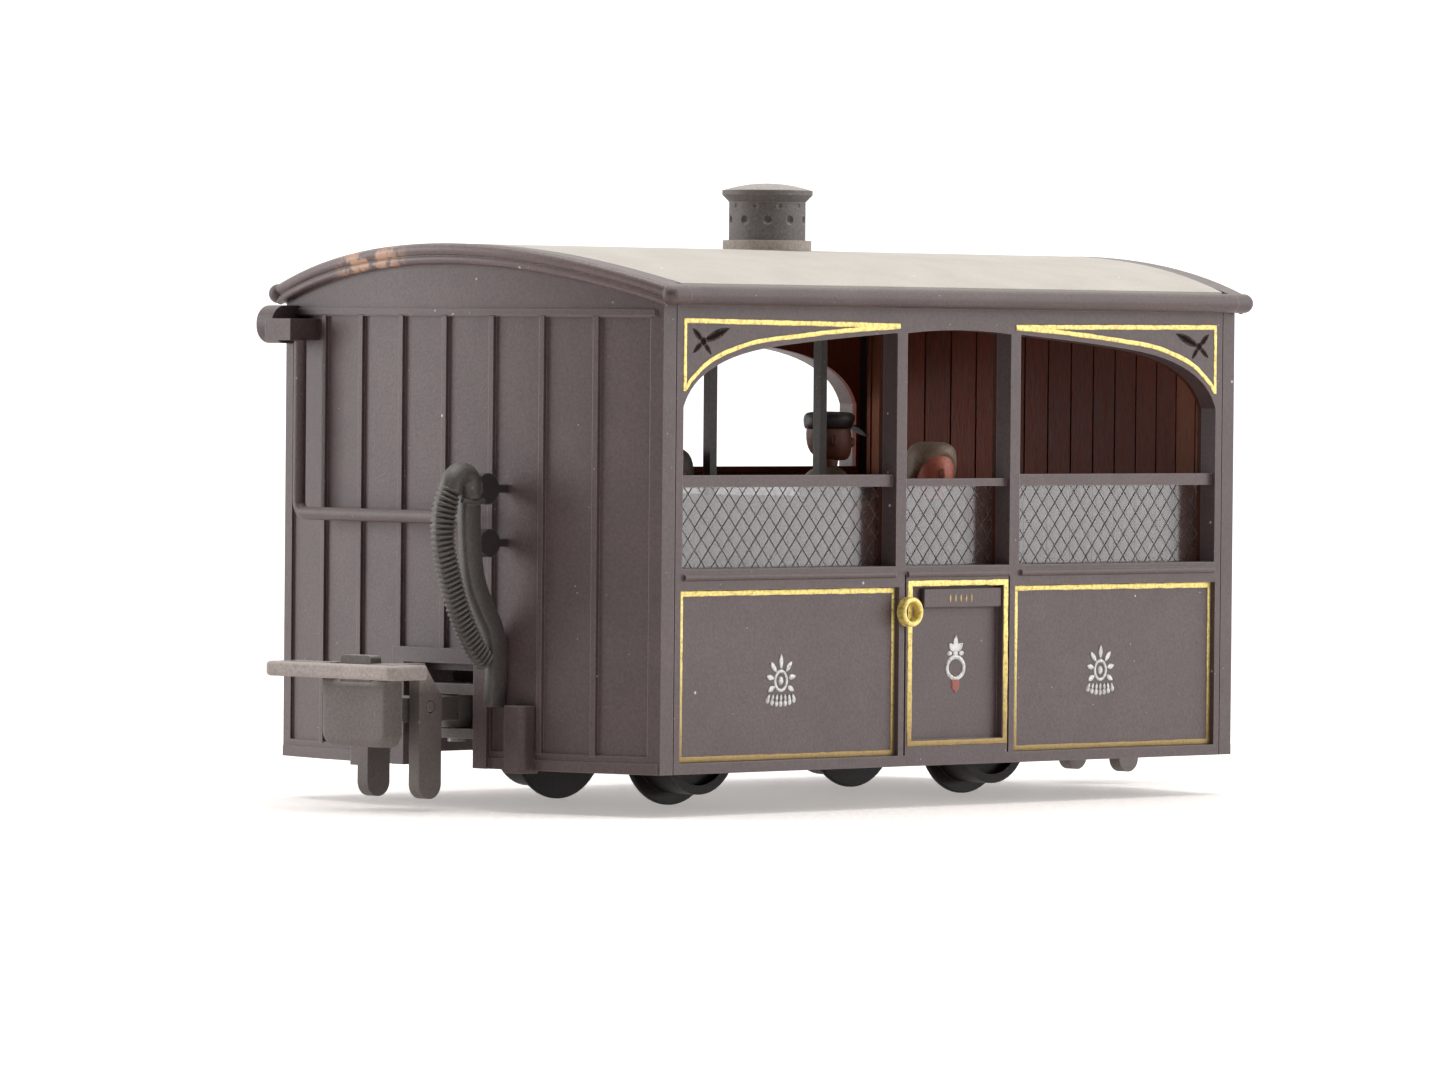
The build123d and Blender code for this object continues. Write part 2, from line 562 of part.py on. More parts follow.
def coupler_loop():
    """The lifting loop: flat ring ahead of the buffer, two arms and their droppers."""
    low, high = LOOP_Z
    past = (low - 1, high + 1)
    front, back = LOOP_X
    inside = LOOP_HALF_WIDTH - LOOP_BAR
    ring = block(LOOP_X, (-LOOP_HALF_WIDTH, LOOP_HALF_WIDTH), LOOP_Z)
    ring -= block((front + LOOP_BAR, back - LOOP_BAR), (-inside, inside), past)
    ring -= block((back - 0.9, back + 1), (-LOOP_ARMS[0], LOOP_ARMS[0]), past)
    ring = fillet(ring.edges().filter_by(Axis.Z).group_by(Axis.X)[0], 0.6)
    loop = fillet(ring.edges().filter_by(Axis.Y).group_by(Axis.X)[0], 0.18)
    pivot_x, pivot_z = LOOP_PIVOT
    plate = make_face(Polyline(dropper_outline(pivot_x, high)))
    plate += Pos(pivot_x - 0.025, DROPPER_FOOT + 0.045) * Circle(DROPPER_WIDTH / 2)
    for side in (-1, 1):
        inner, outer = sorted(side * face for face in LOOP_ARMS)
        loop += block((back - 0.6, pivot_x - 0.4), (inner, outer), LOOP_Z)
        loop += Pos(0, inner, 0) * extrude(Plane.XZ * plate, amount=-(outer - inner))
    return loop - rod_y(PIN_RADIUS + RUNNING_CLEARANCE, (-5, 5), x=pivot_x, z=pivot_z)


def dropper_outline(pivot_x, top):
    """The outline of one of the loop's droppers, round its pivot and straight down, as x and z."""
    front = pivot_x - 0.75
    rear = front + DROPPER_WIDTH
    return ((front, DROPPER_FOOT), (front, top), (front + 0.3, top), (rear, LOOP_PIVOT[1] + 0.5),
            (rear, DROPPER_FOOT), (front, DROPPER_FOOT))


# ---- Fittings on the ends and doors ----
def ribbon(centres, width):
    """A flat strip of one width along straight runs between points given as x and z."""
    left, right = [], []
    last = len(centres) - 1
    for number, (x, z) in enumerate(centres):
        before, after = centres[max(number - 1, 0)], centres[min(number + 1, last)]
        run = (after[0] - before[0], after[1] - before[1])
        share = width / 2 / math.hypot(*run)
        left.append((x - run[1] * share, z + run[0] * share))
        right.append((x + run[1] * share, z - run[0] * share))
    outline = left + right[::-1]
    return make_face(Polyline(outline + outline[:1]))


def vacuum_hose():
    """The front vacuum standpipe, swan neck and hose: one flat moulding held at top and bottom."""
    pipe = ribbon([(-24.09, 15.6), (-24.07, 12.4), (-23.85, 11.4), (-23.35, 10.1), (-22.70, 8.9),
                   (-22.50, 7.6), (-22.50, 4.85)], STANDPIPE_WIDTH)
    hose = ribbon([(-25.30, 15.7), (-25.62, 14.9), (-25.82, 13.8), (-25.83, 12.9), (-25.45, 11.3),
                   (-24.76, 9.6), (-23.85, 8.1), (-22.75, 6.9)], HOSE_WIDTH)
    neck = make_face(Polyline([(-25.70, 15.3), (-25.70, 15.9), (-25.25, 16.45), (-24.60, 16.66),
                               (-23.75, 16.60), (-23.55, 16.3), (-23.55, 14.8), (-24.70, 14.8),
                               (-25.70, 15.3)]))
    near, far = HOSE_Y
    solids = [Pos(0, near, 0) * extrude(Plane.XZ * face, amount=near - far) for face in (pipe, hose, neck)]
    return solids[0] + solids[1] + solids[2] - bow(0)


def hose_clips():
    """The two rounded clips between the front end and its standpipe."""
    clips = []
    for x, z, radius in HOSE_CLIPS:
        stalk = block((x, -HALF_LENGTH), HOSE_CLIP_Y, (z - HOSE_CLIP_STALK, z + HOSE_CLIP_STALK))
        clips.append(rod_y(radius, HOSE_CLIP_Y, x=x, z=z) + stalk - bow(-EMBED))
    return clips


def conduit(end_y):
    """The bent rod from the front cord bracket down and across to the standpipe."""
    bracket_y = CORD_BRACKET_Y[0] + 0.1
    drop = (bow_x(bracket_y) - 1.0, bracket_y)
    level, top = CONDUIT_Z
    route = FilletPolyline([(*drop, top), (*drop, level), (CONDUIT_X, end_y, level)], radius=CONDUIT_BEND)
    start = Plane(origin=(*drop, top), z_dir=(0, 0, -1))
    return sweep(start * Circle(CONDUIT_RADIUS), path=route)


def cord_bracket():
    """The bracket at the far top corner of the front end, with its rounded outer cheek."""
    cheek = block((-22.35, -SIDE_HALF_LENGTH), CORD_CHEEK_Y, (22.2, 24.05))
    cheek = fillet(cheek.edges().filter_by(Axis.Y).group_by(Axis.X)[0], 0.85)
    return cheek + block((-22.75, -SIDE_HALF_LENGTH), CORD_BRACKET_Y, (22.35, 23.4)) - bow(-EMBED)


def end_blocks():
    """The two upright step blocks low on the front end."""
    blocks = []
    for side in (-1, 1):
        low, high = sorted(side * y for y in STEP_BLOCK_Y)
        step = block((-22.55, -HALF_LENGTH), (low, high), STEP_BLOCK_Z)
        blocks.append(fillet(step.edges().filter_by(Axis.Z).group_by(Axis.X)[0], 0.3) - bow(-EMBED))
    return blocks


def door_handle():
    """The near door's round handle: a short tube with a rounded front edge."""
    x, z = HANDLE_PLACE
    bore, outside = HANDLE_RADII
    face = -HALF_WIDTH - HANDLE_REACH
    tube = rod_y(outside, (face, -HALF_WIDTH)) - rod_y(bore, (face - 1, -HALF_WIDTH + 1))
    return Pos(x, 0, z) * fillet(tube.edges().filter_by(GeomType.CIRCLE).group_by(Axis.Y)[0], 0.12)


def ballast_weight():
    """The steel weight between the wheelsets."""
    half_x, half_y = WEIGHT_HALF
    return block((-half_x, half_x), (-half_y, half_y), (WEIGHT_BOTTOM, FLOOR_BOTTOM))


# ---- Nodes ----
def write_nodes():
    os.makedirs("parts", exist_ok=True)
    save("underframe", underframe())
    save("ballast_weight", ballast_weight())
    save("body_screws", *body_screws())
    save("bearing_cups", *bearing_cups())
    save("cabin_floor", cabin_floor())
    save("roof", roof())
    save("roof_posts", *roof_posts())
    for node, solid in zip(("lamp_base", "lamp_drum", "lamp_cap"), lamp_pieces()):
        save(node, solid)
    for name, make in (("side", side_wall), ("side_lining", side_lining),
                       ("mesh_glazing", mesh_glazing), ("door_handle", door_handle)):
        near = make()
        save(f"{name}_near", near)
        save(f"{name}_far", across(near))
    end = end_wall()
    save("end_front", end)
    save("end_rear", turned(end))
    for name, make in (("end_lining", end_lining), ("bench", bench),
                       ("end_bench", end_bench), ("vacuum_hose", vacuum_hose),
                       ("coupling_pocket", coupling_pocket), ("pocket_pin", pocket_pin),
                       ("coupler_body", coupler_body), ("loop_pin", loop_pin),
                       ("coupler_loop", coupler_loop)):
        front = make()
        save(f"{name}_front", front)
        save(f"{name}_rear", turned(front))
    hose = vacuum_hose()
    for name, make in (("hose_clips", hose_clips), ("end_blocks", end_blocks)):
        front = [piece - end - hose for piece in make()]
        save(f"{name}_front", *front)
        save(f"{name}_rear", *[turned(piece) for piece in front])
    bracket = cord_bracket() - end
    save("cord_bracket_front", bracket)
    save("cord_bracket_rear", mirrored(bracket))
    save("conduit_front", conduit(-3.45))
    save("conduit_rear", mirrored(conduit(4.40)))
    for name, x in (("front", -AXLE_X), ("rear", AXLE_X)):
        near = wheel(x)
        save(f"axle_{name}", axle(x))
        save(f"wheel_{name}_near", near)
        save(f"wheel_{name}_far", across(near))
    save("passenger_cap", passenger(6.1, 1.5, 0, 19.05, hat=True))
    save("passenger_hat", passenger(5.6, -6.1, 0, 17.9, hat=False))
    save("passenger_corner", passenger(-5.6, 1.2, 180, 17.6, hat=False))


write_nodes()
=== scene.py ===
import bmesh
import bpy
import json
import math
import random
from mathutils import Matrix, Vector


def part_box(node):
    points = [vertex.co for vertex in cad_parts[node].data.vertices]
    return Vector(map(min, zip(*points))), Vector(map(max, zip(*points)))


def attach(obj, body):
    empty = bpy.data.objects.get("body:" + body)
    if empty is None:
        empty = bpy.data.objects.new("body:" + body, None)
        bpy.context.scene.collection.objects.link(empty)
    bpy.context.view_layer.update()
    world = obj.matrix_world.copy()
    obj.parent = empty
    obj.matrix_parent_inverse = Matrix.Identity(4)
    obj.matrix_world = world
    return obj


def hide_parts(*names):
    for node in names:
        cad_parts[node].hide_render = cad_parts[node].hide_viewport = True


# Looks of the narrow-gauge model coach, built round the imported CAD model.
# Lengths below are in millimetres and become metres where a mesh, light or camera is made.
# "Near" is the -Y side and "front" the -X end, as in the CAD model.

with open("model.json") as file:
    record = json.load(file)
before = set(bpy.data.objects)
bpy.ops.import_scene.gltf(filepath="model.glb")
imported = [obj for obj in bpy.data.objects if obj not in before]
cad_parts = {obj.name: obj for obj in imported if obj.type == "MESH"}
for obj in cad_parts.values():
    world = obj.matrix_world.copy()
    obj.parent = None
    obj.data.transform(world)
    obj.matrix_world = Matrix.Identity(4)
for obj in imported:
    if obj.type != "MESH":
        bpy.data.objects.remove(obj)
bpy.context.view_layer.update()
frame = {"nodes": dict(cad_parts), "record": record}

MM = 0.001                  # one millimetre in metres
NODES = frame["nodes"]


def box_mm(node):
    """A CAD node's lowest and highest corner in millimetres."""
    low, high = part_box(node)
    return low / MM, high / MM


# ---- Materials ----
def new_material(name):
    """A material with a Principled shader: the material, its node tree and the shader."""
    material = bpy.data.materials.new(name)
    material.use_nodes = True
    tree = material.node_tree
    return material, tree, tree.nodes["Principled BSDF"]


def add(tree, kind, inputs=(), **settings):
    """A node with its settings made and its inputs set or linked."""
    node = tree.nodes.new(kind)
    for key, value in settings.items():
        setattr(node, key, value)
    for key, value in dict(inputs).items():
        if isinstance(value, bpy.types.NodeSocket):
            tree.links.new(value, node.inputs[key])
        else:
            node.inputs[key].default_value = value
    return node


def place(tree):
    """The point being shaded, in millimetres of the coach's own frame."""
    where = add(tree, "ShaderNodeTexCoord").outputs["Object"]
    return add(tree, "ShaderNodeVectorMath", {0: where, 3: 1 / MM}, operation="SCALE").outputs[0]


def noise(tree, point, scale, detail=3.0, rough=0.55):
    """Noise of a given number of waves to the millimetre."""
    node = add(tree, "ShaderNodeTexNoise", {"Vector": point, "Scale": scale, "Detail": detail,
                                            "Roughness": rough})
    return node.outputs["Fac"]


def span(tree, value, low, high, to_low=0.0, to_high=1.0):
    """A value's range, mapped to another and held inside it."""
    node = add(tree, "ShaderNodeMapRange", {"Value": value, "From Min": low, "From Max": high,
                                            "To Min": to_low, "To Max": to_high})
    return node.outputs["Result"]


def mix(tree, share, first, second, blend="MIX"):
    """Two colours mixed."""
    node = add(tree, "ShaderNodeMix", data_type="RGBA", blend_type=blend)
    for key, value in ((0, share), (6, first), (7, second)):
        if isinstance(value, bpy.types.NodeSocket):
            tree.links.new(value, node.inputs[key])
        else:
            node.inputs[key].default_value = value
    return node.outputs[2]


def arithmetic(tree, operation, first, second=0.0):
    """One arithmetic step."""
    return add(tree, "ShaderNodeMath", {0: first, 1: second}, operation=operation).outputs[0]


def rgba(colour, strength=1.0):
    """A colour made stronger or weaker, with the opaque alpha that a node's input wants."""
    return (*(strength * channel for channel in colour), 1.0)


def specks(tree, point, scale, radius, share):
    """Sparse round specks of dust: 1 on a speck and 0 elsewhere."""
    cells = add(tree, "ShaderNodeTexVoronoi", {"Vector": point, "Scale": scale})
    dot = span(tree, cells.outputs["Distance"], radius, radius * 0.6)
    chosen = add(tree, "ShaderNodeSeparateColor", {"Color": cells.outputs["Color"]}).outputs[0]
    return arithmetic(tree, "MULTIPLY", dot, arithmetic(tree, "LESS_THAN", chosen, share))


def edge_mask(tree, radius):
    """1 close to a corner of the shape and 0 on its flats."""
    rounded = add(tree, "ShaderNodeBevel", {"Radius": radius * MM}, samples=6).outputs[0]
    flat = add(tree, "ShaderNodeNewGeometry").outputs["Normal"]
    same = add(tree, "ShaderNodeVectorMath", {0: rounded, 1: flat}, operation="DOT_PRODUCT")
    return span(tree, same.outputs["Value"], 0.98, 0.75)


def upward(tree):
    """How far a surface faces up, from 0 to 1."""
    flat = add(tree, "ShaderNodeNewGeometry").outputs["Normal"]
    z = add(tree, "ShaderNodeSeparateXYZ", {0: flat}).outputs[2]
    return span(tree, z, 0.2, 1.0)


def relief(tree, shader, height, depth, corner=0.05):
    """Bump of a depth in millimetres over softly rounded corners."""
    inputs = {"Height": height, "Distance": depth * MM, "Strength": 1.0}
    if corner:
        inputs["Normal"] = add(tree, "ShaderNodeBevel", {"Radius": corner * MM}, samples=4).outputs[0]
    bump = add(tree, "ShaderNodeBump", inputs)
    tree.links.new(bump.outputs[0], shader.inputs["Normal"])


DUST = (0.52, 0.47, 0.42)
LINT = (0.85, 0.83, 0.80)
BODY = (0.071, 0.0465, 0.047)
UNDERCOAT = (0.42, 0.25, 0.165)
CHIP_MIDDLE, CHIP_REACH = 5.1, 2.9      # where the front hoop is flaked, across the coach
BOARD_PITCH = 1.6
LIT_BOARDS_FROM, LIT_BOARDS_TO = (9.55, 9.65), 11.7   # how far from the middle the boards turn pale as painted light from the side openings, and dark again
GILT_SHADE_HEIGHTS = (9.0, 3.0)                     # heights between which the gilt is painted darker and browner towards the bottom, as painted shade where less light falls from above
SHEET_COVER = (0.36, 0.40)              # share of the view behind a clear sheet that its haze hides
LOOP_DARKENING = (6.6, 5.6)                  # heights at which a loop starts to turn darker towards the bottom, and is mostly dark


def paint(name, colour, roughness, mottle=0.12, grain=0.26, edges=0.25, dust=0.3, fluff=0.5,
          edge_colour=DUST, corner=0.05, shine=0.5):
    """Satin model paint: mottled, finely grained, paler on its corners, with settled dust."""
    material, tree, shader = new_material(name)
    point = place(tree)
    broad = span(tree, noise(tree, point, 0.35, 4.0), 0.3, 0.7)
    fine = noise(tree, point, 9.0, 2.0)
    tiny = noise(tree, point, 6.5, 4.0, 0.75)
    base = mix(tree, broad, rgba(colour, 1 - mottle), rgba(colour, 1 + mottle))
    speckled = span(tree, tiny, 0.32, 0.68)
    shades = mix(tree, speckled, rgba((1, 1, 1), 1 - grain), rgba((1, 1, 1), 1 + grain))
    base = mix(tree, 1.0, base, shades, "MULTIPLY")
    worn = arithmetic(tree, "MULTIPLY", edge_mask(tree, 0.10), span(tree, fine, 0.3, 0.7, 0.2, edges))
    base = mix(tree, worn, base, rgba(edge_colour))
    settled = arithmetic(tree, "MULTIPLY", upward(tree), span(tree, fine, 0.25, 0.75, 0.3, 1.0))
    base = mix(tree, arithmetic(tree, "MULTIPLY", settled, dust), base, rgba(DUST))
    lint = arithmetic(tree, "MULTIPLY", specks(tree, point, 0.9, 0.075, 0.16), fluff)
    pin = arithmetic(tree, "MULTIPLY", specks(tree, point, 3.3, 0.10, 0.06), fluff)
    base = mix(tree, arithmetic(tree, "MAXIMUM", lint, pin), base, rgba(LINT))
    tree.links.new(base, shader.inputs["Base Color"])
    tree.links.new(span(tree, fine, 0.2, 0.8, roughness - 0.05, roughness + 0.08),
                   shader.inputs["Roughness"])
    shader.inputs["Specular IOR Level"].default_value = shine
    relief(tree, shader, tiny, 0.015, corner)
    return material


def boards(name, colour, lit_colour):
    """Brown boards standing side by side across Y, each with its own shade, and painted paler near the sides
    as painted light from the side openings.
    """
    material, tree, shader = new_material(name)
    point = place(tree)
    across = add(tree, "ShaderNodeSeparateXYZ", {0: point})
    number = arithmetic(tree, "FLOOR", arithmetic(tree, "DIVIDE", across.outputs[1], BOARD_PITCH))
    shade = add(tree, "ShaderNodeTexWhiteNoise", {"W": number}, noise_dimensions="1D").outputs["Value"]
    stretched = add(tree, "ShaderNodeVectorMath", {0: point, 1: (1.0, 1.0, 0.12)}, operation="MULTIPLY")
    grain = noise(tree, stretched.outputs[0], 5.0, 6.0, 0.65)
    streak = noise(tree, stretched.outputs[0], 14.0, 3.0, 0.6)
    base = mix(tree, span(tree, grain, 0.3, 0.72), rgba(colour, 0.55), rgba(colour, 1.5))
    base = mix(tree, span(tree, shade, 0.0, 1.0, 0.0, 0.55), base, rgba(colour, 1.6))
    base = mix(tree, span(tree, streak, 0.5, 0.75, 0.0, 0.55), base, rgba(colour, 0.35))
    # painted light: boards near the sides, lit through the side openings, are mixed towards a paler colour
    aside = arithmetic(tree, "ABSOLUTE", across.outputs[1])
    pale = arithmetic(tree, "MULTIPLY", span(tree, aside, *LIT_BOARDS_FROM, 0.0, 0.75),
                      arithmetic(tree, "LESS_THAN", aside, LIT_BOARDS_TO))
    base = mix(tree, pale, base, mix(tree, streak, rgba(lit_colour), rgba(lit_colour, 0.5)))
    tree.links.new(base, shader.inputs["Base Color"])
    tree.links.new(span(tree, grain, 0.3, 0.7, 0.5, 0.7), shader.inputs["Roughness"])
    shader.inputs["Specular IOR Level"].default_value = 0.22
    relief(tree, shader, streak, 0.03, 0.03)
    return material


def metal(name, colour, roughness, metallic=1.0, tarnish_and_shade=(0.12, 0.08, 0.03), amount=0.4, low_shade=0.0):
    """Metal or metallic paint with darker tarnished patches, and painted darker and browner low down as
    painted shade, by the share given.
    """
    material, tree, shader = new_material(name)
    point = place(tree)
    patches = span(tree, noise(tree, point, 5.5, 5.0, 0.7), 0.46, 0.70, 0.0, amount)
    fine = noise(tree, point, 18.0, 2.0)
    base = mix(tree, span(tree, fine, 0.3, 0.7), rgba(colour, 0.8), rgba(colour))
    base = mix(tree, patches, base, rgba(tarnish_and_shade))
    height = add(tree, "ShaderNodeSeparateXYZ", {0: point}).outputs[2]
    # painted shade: mixed darker and browner towards the bottom, where less light falls from above; the same
    # dark colour serves the tarnish patches
    base = mix(tree, span(tree, height, *GILT_SHADE_HEIGHTS, 0.0, low_shade), base, rgba(tarnish_and_shade))
    tree.links.new(base, shader.inputs["Base Color"])
    shader.inputs["Metallic"].default_value = metallic
    tree.links.new(span(tree, fine, 0.2, 0.8, roughness - 0.08, roughness + 0.12),
                   shader.inputs["Roughness"])
    relief(tree, shader, fine, 0.01, 0.03)
    return material


def clear_sheet(name):
    """Clear glossy styrene, grey with haze, that lets part of the light straight through."""
    material, tree, shader = new_material(name)
    point = place(tree)
    haze = noise(tree, point, 0.7, 4.0)
    tree.links.new(mix(tree, haze, (0.075, 0.058, 0.058, 1.0), (0.055, 0.044, 0.044, 1.0)),
                   shader.inputs["Base Color"])
    tree.links.new(span(tree, haze, 0.3, 0.7, *SHEET_COVER), shader.inputs["Alpha"])
    shader.inputs["IOR"].default_value = 2.4
    shader.inputs["Roughness"].default_value = 0.16
    return material


def hoop_paint(name, chipped):
    """The body's paint, a shade paler, on a roof hoop, and flaked to its undercoat if chipped."""
    material = paint(name, [1.35 * channel for channel in BODY], 0.40, edges=0.40, dust=0.45)
    if not chipped:
        return material
    tree = material.node_tree
    shader = tree.nodes["Principled BSDF"]
    point = place(tree)
    across = add(tree, "ShaderNodeSeparateXYZ", {0: point}).outputs[1]
    near = span(tree, arithmetic(tree, "ABSOLUTE", arithmetic(tree, "SUBTRACT", across, CHIP_MIDDLE)),
                CHIP_REACH, CHIP_REACH * 0.55)
    flaked = span(tree, noise(tree, point, 1.3, 5.0, 0.65), 0.43, 0.53)
    share = arithmetic(tree, "MULTIPLY", near, flaked)
    old = shader.inputs["Base Color"].links[0].from_socket
    tree.links.new(mix(tree, share, old, rgba(UNDERCOAT)), shader.inputs["Base Color"])
    return material


def loop_paint(name):
    """A coupling loop: pale, with dust, and darker towards the bottom down its droppers."""
    material = paint(name, (0.28, 0.235, 0.22), 0.62, dust=0.9, edges=0.5, mottle=0.14)
    tree = material.node_tree
    shader = tree.nodes["Principled BSDF"]
    height = add(tree, "ShaderNodeSeparateXYZ", {0: place(tree)}).outputs[2]
    old = shader.inputs["Base Color"].links[0].from_socket
    # darker towards the bottom, below the ring
    darker_low = mix(tree, span(tree, height, *LOOP_DARKENING, 0.0, 0.72), old, (0.045, 0.036, 0.034, 1.0))
    tree.links.new(darker_low, shader.inputs["Base Color"])
    return material


MATERIALS = {
    "body_paint": paint("body_paint", BODY, 0.46, edges=0.22, dust=0.30),
    "roof_paint": paint("roof_paint", (0.435, 0.40, 0.352), 0.60, mottle=0.07, grain=0.08, dust=0.15,
                        edges=0.1, fluff=0.8),
    "cabin_wood": boards("cabin_wood", (0.110, 0.021, 0.009), lit_colour=(0.30, 0.10, 0.045)),
    # the cabin's boards painted darker, as painted shade, for the near wall's inner face
    "cabin_wood_shaded": boards("cabin_wood_shaded", (0.050, 0.012, 0.006), lit_colour=(0.10, 0.03, 0.015)),
    # the hose clips' paint darkened, as painted shade for the shadow beside the pipe
    "clip_shaded": paint("clip_shaded", (0.024, 0.019, 0.018), 0.45, edges=0.3, dust=0.2),
    "post_paint": paint("post_paint", (0.060, 0.050, 0.042), 0.5),
    "lamp_grey": paint("lamp_grey", (0.122, 0.107, 0.104), 0.6, dust=0.8, edges=0.5, mottle=0.14),
    "lamp_dusty": paint("lamp_dusty", (0.33, 0.28, 0.25), 0.65, dust=0.9, edges=0.5, mottle=0.14),
    "mesh_sheet": clear_sheet("mesh_sheet"),
    "gilt": metal("gilt", (0.92, 0.74, 0.24), 0.42, metallic=0.40, tarnish_and_shade=(0.17, 0.095, 0.03), amount=0.7,
                  low_shade=0.85),
    "gilt_dull": metal("gilt_dull", (0.50, 0.36, 0.15), 0.5, metallic=0.2, tarnish_and_shade=(0.12, 0.06, 0.02),
                       amount=0.9),
    "loop_dusty": loop_paint("loop_dusty"),
    "coupler_plastic": paint("coupler_plastic", (0.110, 0.092, 0.086), 0.62, dust=0.9, edges=0.65,
                             mottle=0.14),
    "steel": metal("steel", (0.30, 0.29, 0.28), 0.42, tarnish_and_shade=(0.05, 0.04, 0.035), amount=0.6),
    "wheel_black": paint("wheel_black", (0.007, 0.004, 0.004), 0.4, dust=0.05, edges=0.05, fluff=0.2,
                         shine=0.25),
    "bearing_brass": metal("bearing_brass", (0.62, 0.44, 0.18), 0.35),
    "figure_paint": paint("figure_paint", (0.25, 0.13, 0.08), 0.55),
    "hoop_front": hoop_paint("hoop_front", True),
    "hoop_rear": hoop_paint("hoop_rear", False),
    "inlay_black": paint("inlay_black", (0.013, 0.006, 0.006), 0.8, edges=0.0, dust=0.0, fluff=0.0,
                         shine=0.05),
    "mesh_wire": paint("mesh_wire", (0.050, 0.036, 0.036), 0.8, edges=0.0, dust=0.0, fluff=0.0, corner=0.0,
                       shine=0.0),
    "ornament_white": metal("ornament_white", (0.62, 0.62, 0.60), 0.4, metallic=0.3,
                            tarnish_and_shade=(0.16, 0.14, 0.12), amount=0.9),
    "ornament_red": paint("ornament_red", (0.24, 0.045, 0.032), 0.4),
    "hose_rubber": paint("hose_rubber", (0.062, 0.054, 0.050), 0.42, dust=0.3, edges=0.35, mottle=0.15,
                         edge_colour=(0.36, 0.31, 0.27), corner=0.02),
    # one skin paint in two copies: this one darkened as painted shade for faces in shade, the next painted
    # lighter as painted light for the rider's lit face
    "skin": paint("skin", (0.17, 0.050, 0.028), 0.5, edges=0.1, dust=0.1, mottle=0.2, fluff=0.1),
    "skin_lit": paint("skin_lit", (0.58, 0.165, 0.105), 0.45, edges=0.1, dust=0.1, mottle=0.35,
                        grain=0.25, fluff=0.1),
    "hair": paint("hair", (0.050, 0.032, 0.022), 0.55, edges=0.3, dust=0.2),
    "cap_dark": paint("cap_dark", (0.018, 0.013, 0.011), 0.4, edges=0.3, dust=0.3),
    "hat_grey": paint("hat_grey", (0.27, 0.185, 0.125), 0.5, edges=0.3, dust=0.4, mottle=0.3, grain=0.3),
    "coat_brown": paint("coat_brown", (0.09, 0.045, 0.028), 0.55, edges=0.25, dust=0.2, mottle=0.2),
    "coat_red": paint("coat_red", (0.36, 0.10, 0.06), 0.5, edges=0.2, dust=0.2, mottle=0.2),
    "cloth_dark": paint("cloth_dark", (0.045, 0.040, 0.040), 0.6, edges=0.25, dust=0.3),
}
# CAD nodes that look unlike the rest of their slot
NODE_MATERIALS = {
    # the near lining takes a darker copy of the cabin's boards, as painted shade
    "lamp_base": "lamp_dusty", "side_lining_near": "cabin_wood_shaded",
    "coupler_loop_front": "loop_dusty", "coupler_loop_rear": "loop_dusty",
    # the hose clips take a darker copy of their paint, as painted shade
    "hose_clips_front": "clip_shaded", "hose_clips_rear": "clip_shaded",
}


def finish_cad_nodes():
    """Gives every carried-over CAD node its material, chosen by its slot in the record unless NODE_MATERIALS
    names another.
    """
    for row in frame["record"]["subparts"]:
        node = NODES[row["node"]]
        node.data.materials.clear()
        node.data.materials.append(MATERIALS[NODE_MATERIALS.get(row["node"], row["material_slot"])])


finish_cad_nodes()


# ---- Mesh helpers, all in millimetres ----
NEAR = Matrix.Identity(4)
FAR = Matrix.Scale(-1, 4, (0, 1, 0))
FRONT = Matrix.Identity(4)
REAR = Matrix.Rotation(math.pi, 4, "Z")
SIDES = (("near", NEAR), ("far", FAR))
ENDS = (("front", FRONT), ("rear", REAR))
SHARP = math.radians(38)        # faces that meet more steeply than this keep a crisp edge
ACROSS = (0, 1, 0)


def circle(steps):
    """Equally spaced angles round a full turn."""
    return [2 * math.pi * step / steps for step in range(steps)]


def rectangle(x, z):
    """The corners of a rectangle between two values of x and two of z."""
    return (x[0], z[0]), (x[1], z[0]), (x[1], z[1]), (x[0], z[1])


def loft(shape, rings, closed=False):
    """Skins a row of rings of points, with a cap at each end unless the row closes on itself."""
    loops = [[shape.verts.new(point) for point in ring] for ring in rings]
    pairs = list(zip(loops, loops[1:]))
    if closed:
        pairs.append((loops[-1], loops[0]))
    else:
        shape.faces.new(loops[0][::-1])
        shape.faces.new(loops[-1])
    for one, two in pairs:
        for i in range(len(one)):
            j = (i + 1) % len(one)
            shape.faces.new((one[i], one[j], two[j], two[i]))


def tube(shape, points, radii, up, sides=12):
    """A round bar along points, with one radius or a radius for each point."""
    points = [Vector(point) for point in points]
    if not isinstance(radii, (list, tuple)):
        radii = [radii] * len(points)
    rings = []
    for number, (point, radius) in enumerate(zip(points, radii)):
        before, after = points[max(number - 1, 0)], points[min(number + 1, len(points) - 1)]
        along = (after - before).normalized()
        side = along.cross(Vector(up)).normalized()
        lift = side.cross(along)
        rings.append([point + side * (radius * math.cos(a)) + lift * (radius * math.sin(a))
                      for a in circle(sides)])
    loft(shape, rings)


def blob(shape, centre, levels, sides=16):
    """Oval rings one above the other: each level is height, half length, half width and shift along X."""
    rings = []
    for z, half_x, half_y, shift in levels:
        rings.append([(centre[0] + shift + half_x * math.cos(a), centre[1] + half_y * math.sin(a),
                       centre[2] + z) for a in circle(sides)])
    loft(shape, rings)


